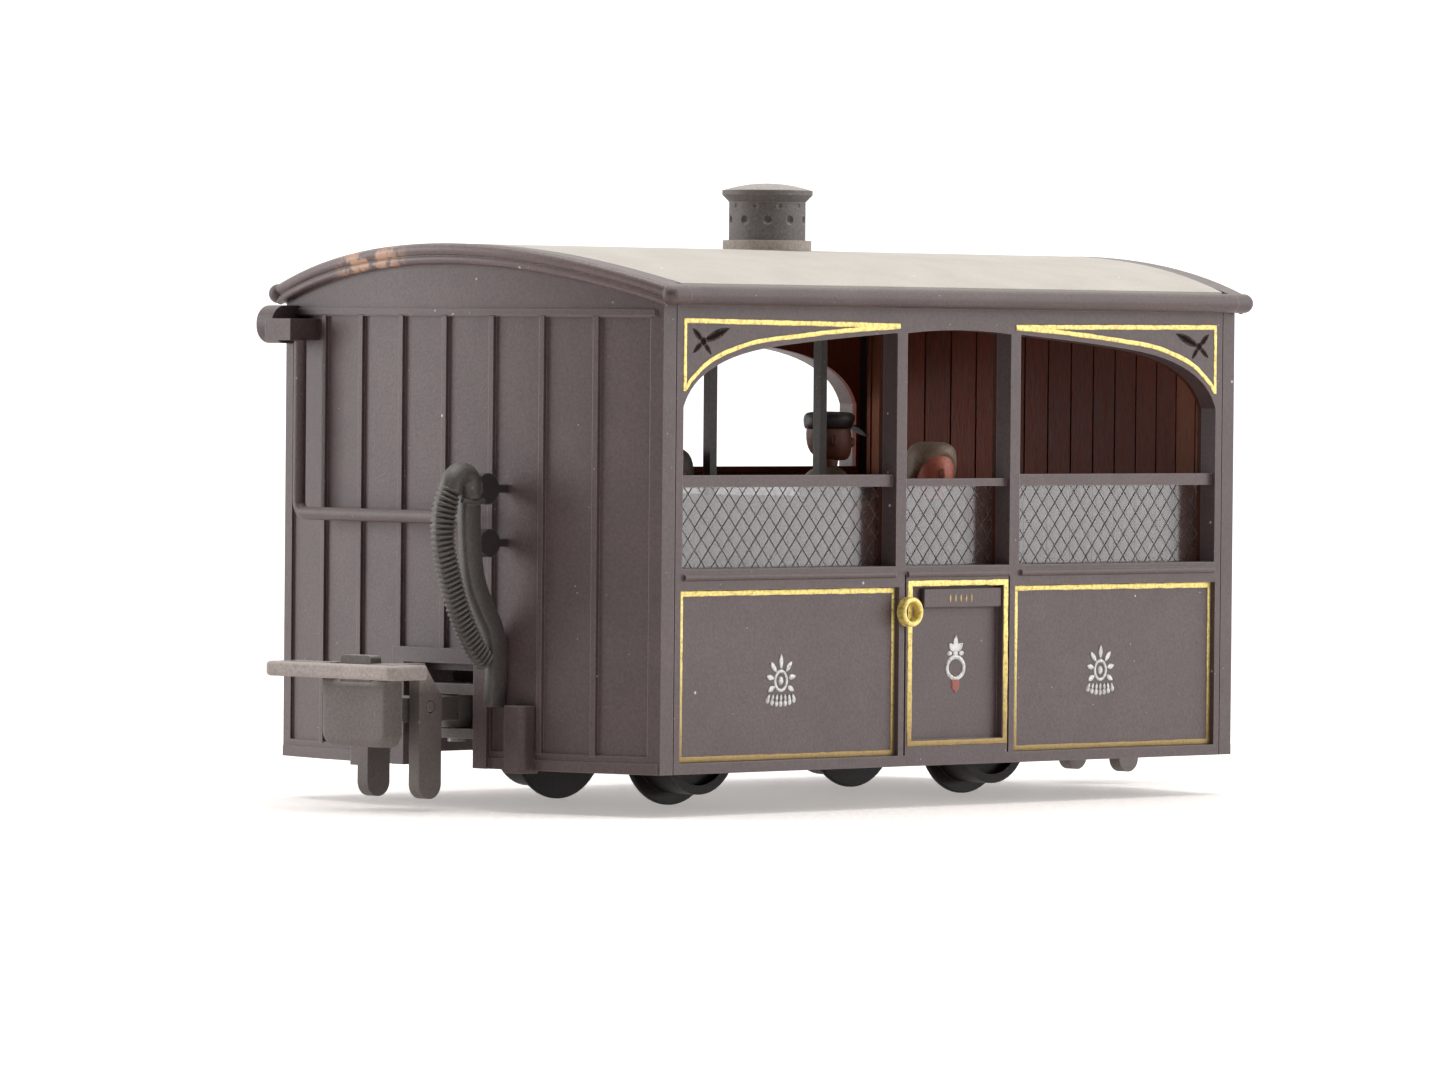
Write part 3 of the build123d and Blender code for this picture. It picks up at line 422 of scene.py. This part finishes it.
def ball(shape, centre, size):
    """A rounded lump with three half sizes, slightly flat at its top and bottom."""
    half_x, half_y, half_z = size
    levels = [(-half_z, half_x * 0.12, half_y * 0.12, 0)]
    for step in range(1, 8):
        angle = math.pi * step / 8 - math.pi / 2
        levels.append((half_z * math.sin(angle), half_x * math.cos(angle), half_y * math.cos(angle), 0))
    levels.append((half_z, half_x * 0.12, half_y * 0.12, 0))
    blob(shape, centre, levels, sides=14)


def prism(shape, outline, y):
    """An outline given as x and z, filled from one y to another."""
    loft(shape, [[(x, depth, z) for x, z in outline] for depth in y])


def curve(points, steps):
    """Points along a smooth curve through the given ones."""
    points = [Vector(point) for point in points]
    ends = [points[0] * 2 - points[1]] + points + [points[-1] * 2 - points[-2]]
    line = []
    for a, b, c, d in zip(ends, ends[1:], ends[2:], ends[3:]):
        for step in range(steps):
            t = step / steps
            line.append(0.5 * (2 * b + (c - a) * t + (2 * a - 5 * b + 4 * c - d) * t ** 2
                               + (3 * b - a - 3 * c + d) * t ** 3))
    return line + [points[-1]]


def at_share(line, share):
    """The point at a share of a line's length."""
    lengths = [(b - a).length for a, b in zip(line, line[1:])]
    left = share * sum(lengths)
    for a, b, length in zip(line, line[1:], lengths):
        if left <= length:
            return a.lerp(b, left / length)
        left -= length
    return line[-1]


def piece(name, shape, slot, turn=NEAR, body="root", material=None, smooth=0, bevel=0.0):
    """Turns a shape into a finished object that rides on a body."""
    bmesh.ops.transform(shape, matrix=turn, verts=shape.verts)
    bmesh.ops.recalc_face_normals(shape, faces=shape.faces)
    for face in shape.faces:
        face.smooth = True
    for edge in shape.edges:
        edge.smooth = edge.calc_face_angle(0.0) < SHARP
    bmesh.ops.scale(shape, vec=(MM, MM, MM), verts=shape.verts)
    mesh = bpy.data.meshes.new(name)
    shape.to_mesh(mesh)
    shape.free()
    made = bpy.data.objects.new(name, mesh)
    bpy.context.scene.collection.objects.link(made)
    mesh.materials.append(MATERIALS[material or slot])
    if bevel:
        rounding = made.modifiers.new("bevel", "BEVEL")
        rounding.width, rounding.segments = bevel * MM, 2
    if smooth:
        made.modifiers.new("smooth", "SUBSURF").levels = smooth
        made.modifiers["smooth"].render_levels = smooth
    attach(made, body)
    return made


# ---- Sides: gilt lining, inlays, plate and mesh ----
WALL_Y = box_mm("door_handle_near")[1][1]       # the near wall's face, where the handle meets it
BAY_PANEL_DEPTH, DOOR_PANEL_DEPTH = 0.28, 0.38
BAY_FLOOR_Y = WALL_Y + BAY_PANEL_DEPTH
DOOR_FLOOR_Y = WALL_Y + DOOR_PANEL_DEPTH
GLAZING_Y = box_mm("mesh_glazing_near")[0][1]
GILT_HEIGHT = 0.035
# A raised line's section: share of the way across it, and share of its height
RIDGE = ((0.0, -0.02), (0.06, 0.7), (0.3, 1.0), (0.7, 1.0), (0.94, 0.7), (1.0, -0.02))
BAY_LININGS = (("front", (-18.80, -4.06)), ("rear", (4.50, 18.96)))
BAY_LINING_Z = (2.58, 10.68)
BAY_LINING_WIDTHS = (0.21, 0.27)                # uprights and rails
DOOR_LINING = ((-3.42, 3.74), (2.98, 11.0))
DOOR_LINING_WIDTHS = (0.34, 0.28)
SPANDREL_X = 18.85
SPANDREL_TOP = (23.42, 23.30)                   # height of its top line at the corner and the tip
# The arched edge of a corner's lining, from its tip to the corner post
SPANDREL_CURVE = ((4.13, 23.27), (8.4, 23.0), (11.5, 22.72), (14.3, 22.4), (16.9, 21.65), (18.3, 20.75),
                  (18.83, 20.2))
SPANDREL_WIDTHS = (0.25, 0.24, 0.22)            # its top line, its curve and its upright
STAR = (17.63, 22.44)
STAR_ARMS = ((0.95, 40, 0.30), (1.85, 160, 0.42), (0.88, -38, 0.27), (0.80, -131, 0.26))    # long, turn, wide
STAR_HEIGHT = 0.016
# The ornaments' leaves: angle and length
WREATH_LEAVES = ((50, 0.62), (90, 0.70), (130, 0.62), (12, 0.50), (168, 0.50), (-28, 0.5), (208, 0.5))
CROWN_LEAVES = ((40, 0.62), (90, 0.80), (140, 0.62))
ORNAMENTS = (("front", -11.9, 6.2), ("rear", 10.8, 6.3))    # where each one's middle is along X and Z
DOOR_ORNAMENT = (0.4, 6.72)
# How far the mesh reaches along X in each window
WINDOWS = (("front", (-18.93, -4.28)), ("door", (-3.58, 3.80)), ("rear", (4.50, 18.93)))
WINDOW_Z = (11.70, 15.55)
DIAMOND = (0.92, 1.07)                          # width and height of one diamond of the mesh
WIRE = 0.045                                    # width of its strands
PLATE_X, PLATE_Z = (-2.17, 3.36), (9.65, 10.6)
PLATE_PROUD = 0.08                              # how far the plate stands out from the wall's face
MARKS, MARK_PITCH = 5, 0.38


def raised(shape, edges, y, height, closed=False):
    """A low rounded ridge between pairs of edge points, standing out from a face towards -Y."""
    rings = []
    for left, right in edges:
        ring = []
        for share, rise in RIDGE:
            x, z = left.lerp(right, share)
            ring.append((x, y - height * rise, z))
        rings.append(ring)
    loft(shape, rings, closed)


def painted_line(shape, points, width, y, rng, height=GILT_HEIGHT):
    """A line laid along points by a brush, so a little uneven along its edges."""
    points = [Vector(point) for point in points]
    edges = []
    for number, point in enumerate(points):
        before, after = points[max(number - 1, 0)], points[min(number + 1, len(points) - 1)]
        along = (after - before).normalized()
        across = Vector((-along[1], along[0])) * width / 2
        edges.append((point - across * rng.uniform(0.86, 1.1), point + across * rng.uniform(0.86, 1.1)))
    raised(shape, edges, y, height)


def painted_frame(shape, x, z, widths, y, rng):
    """A rectangular lining with its outer edge at x and z, and its own width for uprights and rails."""
    wide, high = widths
    outer = [Vector(corner) for corner in rectangle(x, z)]
    inner = [Vector(corner) for corner in rectangle((x[0] + wide, x[1] - wide), (z[0] + high, z[1] - high))]
    edges = []
    for i in range(4):
        j = (i + 1) % 4
        steps = max(2, round((outer[j] - outer[i]).length / 0.45))
        for step in range(steps):
            share = step / steps
            out, into = outer[i].lerp(outer[j], share), inner[i].lerp(inner[j], share)
            across = (into - out) * (rng.uniform(-0.07, 0.07) if step else 0.0)
            edges.append((out + across, into - across))
    raised(shape, edges, y, GILT_HEIGHT, closed=True)


def leaf(shape, base, length, width, angle, y, height=0.05):
    """A pointed leaf lying on a face, ridged along its middle."""
    along = Vector((math.cos(math.radians(angle)), math.sin(math.radians(angle))))
    across = Vector((-along[1], along[0]))
    steps = 9
    edges = []
    for step in range(steps + 1):
        share = step / steps
        half = across * (width / 2 * (0.06 + math.sin(math.pi * share) ** 0.8))
        spot = Vector(base) + along * length * share
        edges.append((spot - half, spot + half))
    raised(shape, edges, y, height)


def oval(shape, centre, half, radius, y, steps=40):
    """An oval ring of round bar lying on a face."""
    rings = []
    for a in circle(steps):
        out = Vector((math.cos(a), math.sin(a)))
        middle = Vector((centre[0] + half[0] * out[0], centre[1] + half[1] * out[1]))
        ring = []
        for b in circle(10):
            spot = middle + out * radius * math.cos(b)
            ring.append((spot[0], y - radius * 0.6 * math.sin(b), spot[1]))
        rings.append(ring)
    loft(shape, rings, closed=True)


def side_linings(side, turn):
    """The gilt lines of one side: round each bay panel, round the door and in the arch corners."""
    rng = random.Random(7)
    for end, x in BAY_LININGS:
        shape = bmesh.new()
        painted_frame(shape, x, BAY_LINING_Z, BAY_LINING_WIDTHS, BAY_FLOOR_Y, rng)
        piece(f"lining_bay_{end}_{side}", shape, "gilt", turn)
    shape = bmesh.new()
    painted_frame(shape, *DOOR_LINING, DOOR_LINING_WIDTHS, WALL_Y, rng)
    piece(f"lining_door_{side}", shape, "gilt", turn)
    corner_z, tip_z = SPANDREL_TOP
    top_width, curve_width, upright_width = SPANDREL_WIDTHS
    for hand, end in ((-1, "front"), (1, "rear")):
        shape = bmesh.new()
        top = curve([(hand * SPANDREL_X, corner_z), (hand * 11.5, (corner_z + tip_z) / 2),
                     (hand * SPANDREL_CURVE[0][0], tip_z)], 16)
        arch = curve([(hand * x, z) for x, z in SPANDREL_CURVE], 8)
        upright = curve([(hand * SPANDREL_X, z) for z in (corner_z + 0.1, 21.8, 20.1)], 6)
        painted_line(shape, top, top_width, WALL_Y, rng)
        painted_line(shape, arch, curve_width, WALL_Y, rng, GILT_HEIGHT * 1.2)
        painted_line(shape, upright, upright_width, WALL_Y, rng, GILT_HEIGHT * 0.8)
        piece(f"lining_arch_{end}_{side}", shape, "gilt", turn)
        star = bmesh.new()
        for length, angle, width in STAR_ARMS:
            leaf(star, (hand * STAR[0], STAR[1]), length, width, angle if hand > 0 else 180 - angle,
                 WALL_Y, STAR_HEIGHT)
        ball(star, (hand * STAR[0], WALL_Y, STAR[1]), (0.2, 0.03, 0.2))
        piece(f"star_{end}_{side}", star, "wheel_black", turn, material="inlay_black")


def panel_ornament(shape, x, z, y):
    """A plain wreath: a ring with leaves above and at its sides, over a row of leaves and beads."""
    oval(shape, (x, z + 0.12), (0.40, 0.46), 0.08, y)
    for angle, length in WREATH_LEAVES:
        a = math.radians(angle)
        leaf(shape, (x + 0.50 * math.cos(a), z + 0.12 + 0.56 * math.sin(a)), length, 0.26, angle, y)
    for number in range(-3, 4):
        ball(shape, (x + number * 0.30, y, z - 0.98 + 0.02 * number ** 2), (0.13, 0.05, 0.15))
        leaf(shape, (x + number * 0.26, z - 0.52), 0.34, 0.16, -90 + number * 9, y)
    ball(shape, (x, y, z + 0.12), (0.17, 0.06, 0.20))


def side_ornaments(side, turn):
    """Plain leaf-and-ring ornaments on the panels and the door, and the door's plate with plain marks."""
    for end, x, z in ORNAMENTS:
        shape = bmesh.new()
        panel_ornament(shape, x, z, BAY_FLOOR_Y)
        piece(f"ornament_{end}_{side}", shape, "gilt", turn, material="ornament_white")
    x, z = DOOR_ORNAMENT
    shape = bmesh.new()
    oval(shape, (x, z), (0.60, 0.52), 0.11, DOOR_FLOOR_Y)
    for angle, length in CROWN_LEAVES:
        leaf(shape, (x, z + 0.78), length, 0.34, angle, DOOR_FLOOR_Y)
    for number in (-1, 0, 1):
        ball(shape, (x + number * 0.42, DOOR_FLOOR_Y, z + 0.70), (0.18, 0.05, 0.12))
    piece(f"ornament_door_{side}", shape, "gilt", turn, material="ornament_white")
    drop = bmesh.new()
    leaf(drop, (x, z - 0.36), 0.85, 0.60, -90, DOOR_FLOOR_Y)
    piece(f"ornament_drop_{side}", drop, "gilt", turn, material="ornament_red")
    plate = bmesh.new()
    prism(plate, rectangle(PLATE_X, PLATE_Z), (DOOR_FLOOR_Y + 0.05, WALL_Y + PLATE_PROUD))
    piece(f"class_plate_{side}", plate, "body_paint", turn, bevel=0.06)
    marks = bmesh.new()
    for number in range(MARKS):
        leaf(marks, (-0.32 + number * MARK_PITCH, PLATE_Z[0] + 0.25), 0.42, 0.13, 90, WALL_Y + PLATE_PROUD,
             0.015)
    piece(f"class_marks_{side}", marks, "gilt", turn, material="gilt_dull")


def window_mesh(side, turn):
    """The fine diamond mesh on each window's clear sheet."""
    slope = DIAMOND[1] / DIAMOND[0]
    low_z, high_z = WINDOW_Z
    reach = (high_z - low_z) / slope
    for name, (low_x, high_x) in WINDOWS:
        shape = bmesh.new()
        for lean in (-1, 1):
            count = math.ceil((high_x - low_x + reach) / DIAMOND[0])
            for number in range(count + 1):
                foot = low_x + number * DIAMOND[0] - (reach if lean > 0 else 0)
                start, stop = foot, foot + lean * reach
                first, last = sorted((max(low_x, min(high_x, start)), max(low_x, min(high_x, stop))))
                if last - first < 0.1:
                    continue
                ends = [Vector((x, low_z + lean * (x - foot) * slope)) for x in (first, last)]
                along = (ends[1] - ends[0]).normalized()
                half = Vector((-along[1], along[0])) * WIRE / 2
                raised(shape, [(end - half, end + half) for end in ends], GLAZING_Y, 0.02 + 0.006 * lean)
        piece(f"mesh_{name}_{side}", shape, "mesh_sheet", turn, material="mesh_wire")


# ---- Ends: roof hoop beads, ribbed hose and standpipe ----
ROOF_TOP = box_mm("roof")[1][2]
ROOF_RADIUS = 47.0              # of the roof's arch, seen from an end
BOW_RADIUS = 49.16              # of an end's bow in plan
BOW_CENTRE = 27.11              # where the centre of the front end's bow is along X
HOOP_HALF = 13.35               # half the hoop's length across the coach
HOOP_BEADS = ((0.30, 0.31, 0.18), (0.76, 0.22, 0.20))   # depth below the roof, radius, distance from the bow


def hoop_beads(end, turn):
    """The two round beads that follow the roof's arch across the end."""
    shape = bmesh.new()
    for down, radius, out in HOOP_BEADS:
        path = []
        for step in range(61):
            y = -HOOP_HALF + 2 * HOOP_HALF * step / 60
            path.append((BOW_CENTRE - math.sqrt((BOW_RADIUS + out) ** 2 - y ** 2), y,
                         ROOF_TOP - ROOF_RADIUS + math.sqrt((ROOF_RADIUS - down) ** 2 - y ** 2)))
        tube(shape, path, radius, (1, 0, 0), sides=14)
    piece(f"hoop_beads_{end}", shape, "body_paint", turn, material=f"hoop_{end}")


HOSE_LINE = ((-25.35, 15.6), (-25.75, 14.4), (-25.85, 13.0), (-25.45, 11.4), (-24.75, 9.6), (-23.8, 8.0),
             (-22.95, 7.1))
HOSE_WIDTH = (0.95, 1.2, 1.1, 1.1, 1.05, 1.0, 0.9)      # at each point of its line
PIPE_LINE = ((-24.1, 16.0), (-24.1, 13.4), (-23.8, 11.2), (-23.1, 9.7), (-22.5, 8.7), (-22.25, 7.3),
             (-22.4, 5.0))
PIPE_WIDTH = (1.1, 1.1, 1.05, 1.0, 1.0, 1.1, 0.95)
PIPE_CLIP = ((-24.2, -23.75), (15.15, 15.65))           # a small clip on the pipe, along X and Z
PIPE_WIRE = ((-24.9, 0.10, 14.82), (-24.2, 0.06, 14.74), (-23.5, 0.10, 14.80))  # X, inwards, Z
NECK = ((-25.42, 15.2), (-25.22, 15.75), (-24.75, 16.06), (-24.28, 15.92), (-24.12, 15.4), (-24.12, 14.9))
RIBS, RIB_DEPTH = 38, 0.25
# A flat moulding's section: share of the way across it, and share of its half thickness
HALF_SECTION = ((0.0, 0.45), (0.07, 0.85), (0.2, 1.0), (0.5, 1.06), (0.8, 1.0), (0.93, 0.85), (1.0, 0.45))
SECTION = (*HALF_SECTION, *((across, -deep) for across, deep in reversed(HALF_SECTION)))


def flat_moulding(line, widths, steps, y, waves=0, swell=0.0):
    """Rounded cross-sections of a flat moulding along a line, ribbed if there are waves."""
    path = curve([(x, width, z) for (x, z), width in zip(line, widths)], 8)
    middle, half = (y[0] + y[1]) / 2, (y[1] - y[0]) / 2
    rings = []
    for step in range(steps + 1):
        share = step / steps
        spot = at_share(path, share)
        along = at_share(path, min(1.0, share + 0.02)) - at_share(path, max(0.0, share - 0.02))
        aside = Vector((along[2], 0.0, -along[0])).normalized() * spot[1]
        rise = swell * (abs(math.sin(math.pi * waves * share)) ** 0.75 - 1) if waves else 0.0
        ring = []
        for across, deep in SECTION:
            place_x, _, place_z = spot + aside * (across - 0.5)
            ring.append((place_x, middle - deep * (half + rise), place_z))
        rings.append(ring)
    return rings


def vacuum_hose(end, turn):
    """The ribbed hose, and the standpipe with its swan neck, clip and wire."""
    low, high = box_mm("vacuum_hose_front")
    y = (low[1], high[1])
    hose = bmesh.new()
    loft(hose, flat_moulding(HOSE_LINE, HOSE_WIDTH, RIBS * 8, y, RIBS, RIB_DEPTH))
    made = piece(f"hose_{end}", hose, "coupler_plastic", turn, material="hose_rubber")
    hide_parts(f"vacuum_hose_{end}")
    pipe = bmesh.new()
    loft(pipe, flat_moulding(PIPE_LINE, PIPE_WIDTH, 40, (y[0] + 0.08, y[1] - 0.08)))
    neck = curve(NECK, 6)
    middle = (y[0] + y[1]) / 2
    tube(pipe, [(x, middle, z) for x, z in neck], [0.50, *[0.58] * (len(neck) - 2), 0.52], ACROSS, 18)
    prism(pipe, rectangle(*PIPE_CLIP), (y[0] - 0.1, y[0] + 0.1))
    tube(pipe, [(x, y[0] + inwards, z) for x, inwards, z in PIPE_WIRE], 0.13, ACROSS)
    piece(f"standpipe_{end}", pipe, "coupler_plastic", turn, material="hose_rubber", bevel=0.05)


# ---- Passengers ----
SEAT = 10.2                     # height of the benches' tops
FLOOR_TOP = box_mm("cabin_floor")[1][2]
BACK = 1.35                     # from the figure's middle to its back
HEAD_HEIGHT = 2.85              # from the neck to the top of the hat or hair


def coat_shape(neck):
    """A trunk and two bent arms."""
    shape = bmesh.new()
    trunk = neck - SEAT
    blob(shape, (0, 0, 0), ((SEAT, 0.95, 1.10, 0.1), (SEAT + 0.4, 1.12, 1.25, 0.05),
                            (SEAT + trunk * 0.35, 0.98, 1.12, 0.0), (SEAT + trunk * 0.7, 1.05, 1.40, -0.1),
                            (neck - 0.5, 0.92, 1.52, -0.1), (neck - 0.12, 0.66, 1.15, -0.05),
                            (neck + 0.12, 0.42, 0.5, 0.0)))
    for side in (-1, 1):
        tube(shape, ((-0.05, side * 1.25, neck - 0.55), (0.15, side * 1.66, neck - 1.6),
                     (0.55, side * 1.62, SEAT + 1.5), (1.5, side * 1.05, SEAT + 1.05)),
             [0.42, 0.44, 0.40, 0.30], ACROSS)
    return shape


def legs_shape():
    """Two legs bent at the knee, with shoes on the floor."""
    shape = bmesh.new()
    for side in (-1, 1):
        tube(shape, ((0.1, side * 0.62, SEAT + 0.55), (1.5, side * 0.72, SEAT + 0.6),
                     (2.75, side * 0.78, SEAT + 0.55), (3.2, side * 0.78, SEAT - 0.2),
                     (3.25, side * 0.78, FLOOR_TOP + 0.45)), [0.62, 0.60, 0.55, 0.48, 0.36], ACROSS)
        ball(shape, (3.45, side * 0.80, FLOOR_TOP + 0.28), (0.78, 0.38, 0.28))
    return shape


def head_shape(neck):
    """A plain head on its neck, with only a nose and ears."""
    shape = bmesh.new()
    tube(shape, ((0, 0, neck - 0.2), (0.05, 0, neck + 0.35), (0.1, 0, neck + 0.8)), 0.5, ACROSS)
    blob(shape, (0.05, 0, neck), ((0.36, 0.55, 0.42, 0.38), (0.58, 0.98, 0.76, 0.16), (1.0, 1.16, 0.98, 0.04),
                                  (1.5, 1.20, 1.05, 0.0), (2.0, 1.18, 1.04, -0.02),
                                  (2.4, 0.96, 0.86, -0.04), (2.65, 0.45, 0.40, -0.04)))
    ball(shape, (1.26, 0, neck + 1.30), (0.22, 0.16, 0.26))
    for side in (-1, 1):
        ball(shape, (-0.02, side * 1.06, neck + 1.38), (0.19, 0.12, 0.28))
    return shape


def hands_shape():
    """Two hands on the lap."""
    shape = bmesh.new()
    for side in (-1, 1):
        ball(shape, (1.54, side * 0.92, SEAT + 1.02), (0.34, 0.26, 0.26))
    return shape


def sit(name, node, facing, hat, coat, skin, gaze=0.0):
    """A plain seated figure of no one in particular, looking gaze degrees to its left."""
    low, high = box_mm(node)
    x = low[0] + BACK if facing > 0 else high[0] - BACK
    turn = Matrix.Translation((x, (low[1] + high[1]) / 2, 0))
    if facing < 0:
        turn = turn @ Matrix.Rotation(math.pi, 4, "Z")
    looking = turn @ Matrix.Rotation(math.radians(gaze), 4, "Z")
    neck = high[2] - HEAD_HEIGHT
    made = piece(f"{name}_coat", coat_shape(neck), "figure_paint", turn, material=coat, smooth=1)
    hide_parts(node)
    piece(f"{name}_legs", legs_shape(), "figure_paint", turn, material="cloth_dark", smooth=1)
    piece(f"{name}_head", head_shape(neck), "figure_paint", looking, material=skin, smooth=1)
    piece(f"{name}_hands", hands_shape(), "figure_paint", turn, material=skin, smooth=1)
    wear = bmesh.new()
    HATS[hat](wear, high[2])
    piece(f"{name}_hat", wear, "figure_paint", looking, material=hat, smooth=1)


def peaked_cap(shape, top):
    """A flat-topped cap with a peak that dips forwards."""
    blob(shape, (0, 0, top), ((-1.0, 1.20, 1.08, 0.0), (-0.74, 1.26, 1.12, 0.0), (-0.42, 1.36, 1.24, 0.06),
                              (-0.15, 1.34, 1.22, 0.10), (0.0, 1.06, 0.94, 0.06)))
    outline = [(1.0 + 1.15 * math.cos(a), 0.98 * math.sin(a))
               for a in (math.pi * (step / 12 - 0.5) for step in range(13))]
    loft(shape, [[(x, y, top - 0.64 - 0.62 * (x - 1.0) + lift) for x, y in outline] for lift in (0.0, 0.14)])


def round_hat(shape, top):
    """A soft round hat pulled down at the back."""
    rings = []
    for height, half, forward in ((0.05, 0.55, 0.0), (-0.12, 1.0, 0.0), (-0.45, 1.28, 0.0),
                                  (-0.8, 1.36, 0.02), (-1.25, 1.38, 0.05), (-1.9, 1.36, 0.08),
                                  (-2.4, 1.28, 0.10)):
        ring = []
        for a in circle(18):
            ahead = max(0.0, math.cos(a))
            ring.append((half * 0.98 * math.cos(a) - 0.22 + forward, half * 0.94 * math.sin(a),
                         top + height * (1 - 0.74 * ahead)))
        rings.append(ring)
    loft(shape, rings[::-1])


def short_hair(shape, top):
    """Hair over the top and back of the head."""
    blob(shape, (-0.12, 0, top), ((-1.75, 0.98, 1.02, -0.20), (-1.3, 1.16, 1.10, -0.14),
                                  (-0.8, 1.24, 1.12, 0.0), (-0.3, 1.08, 0.98, 0.05),
                                  (0.0, 0.5, 0.45, 0.02)))


HATS = {"cap_dark": peaked_cap, "hat_grey": round_hat, "hair": short_hair}


def extra_pieces():
    """Everything that is finer than the CAD model, on both sides and both ends, and the passengers."""
    for side, turn in SIDES:
        side_linings(side, turn)
        side_ornaments(side, turn)
        window_mesh(side, turn)
    for end, turn in ENDS:
        hoop_beads(end, turn)
        vacuum_hose(end, turn)
    sit("guard", "passenger_cap", 1, "cap_dark", "coat_brown", "skin", gaze=-25)
    sit("rider", "passenger_hat", 1, "hat_grey", "coat_red", "skin_lit", gaze=-112)
    sit("corner", "passenger_corner", -1, "hair", "coat_brown", "skin")


extra_pieces()


# ---- Studio ----
# Each light's name, side, power in watts and place
LIGHTS = (("softbox", 420, 1.72, (300, -330, 90)), ("left", 240, 0.95, (-260, 320, 110)),
          ("top", 420, 1.6, (0, -40, 380)))
LIGHT_AIM = (0, 0, 14)
BACKDROP = 1.3                  # how bright the surround looks to the camera
SURROUND = (1.0, 0.12)          # how brightly it lights the coach from behind and from the camera's side
FLOOR_RADIUS = 300.0
FLOOR_GLOW = 0.36
AZIMUTH, ELEVATION, ROLL = (math.radians(angle) for angle in (-45.60, 1.11, 0.51))
LENS, SENSOR = 226.6, 36.0
DISTANCE = 450.8
AIM = (-1.96, 12.92)            # how far right of and above the coach's origin the view's middle is
CAMERA_SIDE = (math.sin(AZIMUTH), -math.cos(AZIMUTH), 0.0)


def area_light(name, side, power, where, towards):
    """A soft square light aimed at a point."""
    data = bpy.data.lights.new(name, "AREA")
    data.shape = "RECTANGLE"
    data.size = data.size_y = side * MM
    data.energy = power
    light = bpy.data.objects.new(name, data)
    light.location = Vector(where) * MM
    light.rotation_mode = "QUATERNION"
    light.rotation_quaternion = (Vector(towards) - Vector(where)).to_track_quat("-Z", "Y")
    bpy.context.scene.collection.objects.link(light)


def studio_world():
    """A white surround, dimmer towards the side that the picture is taken from."""
    world = bpy.data.worlds.new("studio")
    world.use_nodes = True
    tree = world.node_tree
    tree.nodes.clear()
    where = add(tree, "ShaderNodeTexCoord").outputs["Generated"]
    side = add(tree, "ShaderNodeVectorMath", {0: where, 1: CAMERA_SIDE}, operation="DOT_PRODUCT")
    level = span(tree, side.outputs["Value"], -0.45, 0.20, *SURROUND)
    shown = add(tree, "ShaderNodeLightPath").outputs["Is Camera Ray"]
    bright = mix(tree, shown, level, rgba((1, 1, 1), BACKDROP))
    background = add(tree, "ShaderNodeBackground", {"Color": bright, "Strength": 1.0})
    add(tree, "ShaderNodeOutputWorld", {"Surface": background.outputs[0]})
    bpy.context.scene.world = world


def camera():
    """The camera at the picture's place, a little above level and square to neither side nor end."""
    back = Vector((math.sin(AZIMUTH) * math.cos(ELEVATION),
                   -math.cos(AZIMUTH) * math.cos(ELEVATION), math.sin(ELEVATION)))
    right = Vector((math.cos(AZIMUTH), math.sin(AZIMUTH), 0.0))
    up = back.cross(right)
    right, up = (right * math.cos(ROLL) + up * math.sin(ROLL),
                 up * math.cos(ROLL) - right * math.sin(ROLL))
    data = bpy.data.cameras.new("camera")
    data.lens = LENS
    data.sensor_width = SENSOR
    data.clip_start, data.clip_end = 0.01, 20.0
    viewer = bpy.data.objects.new("camera", data)
    centre = (right * AIM[0] + up * AIM[1] + back * DISTANCE) * MM
    turn = Matrix((right, up, back)).transposed().to_4x4()
    viewer.matrix_world = Matrix.Translation(centre) @ turn
    bpy.context.scene.collection.objects.link(viewer)
    bpy.context.scene.camera = viewer


def floor():
    """A plain pale floor, bright enough to run into the background."""
    mesh = bpy.data.meshes.new("floor")
    shape = bmesh.new()
    bmesh.ops.create_circle(shape, cap_ends=True, segments=96, radius=FLOOR_RADIUS * MM)
    shape.to_mesh(mesh)
    shape.free()
    ground = bpy.data.objects.new("floor", mesh)
    bpy.context.scene.collection.objects.link(ground)
    material, tree, shader = new_material("floor")
    point = place(tree)
    speckle = span(tree, noise(tree, point, 3.2, 5.0, 0.75), 0.38, 0.62)
    tree.links.new(mix(tree, speckle, (0.64, 0.585, 0.55, 1), (1.0, 0.965, 0.94, 1)),
                   shader.inputs["Base Color"])
    shader.inputs["Roughness"].default_value = 0.55
    relief(tree, shader, speckle, 0.03, 0.0)
    shader.inputs["Emission Color"].default_value = (1.0, 0.955, 0.92, 1.0)
    shader.inputs["Emission Strength"].default_value = FLOOR_GLOW
    mesh.materials.append(material)


def studio():
    """Light, floor and camera."""
    scene = bpy.context.scene
    scene.view_settings.view_transform = "Standard"
    scene.view_settings.look = "None"
    studio_world()
    for name, side, power, where in LIGHTS:
        area_light(name, side, power, where, LIGHT_AIM)
    floor()
    camera()


studio()
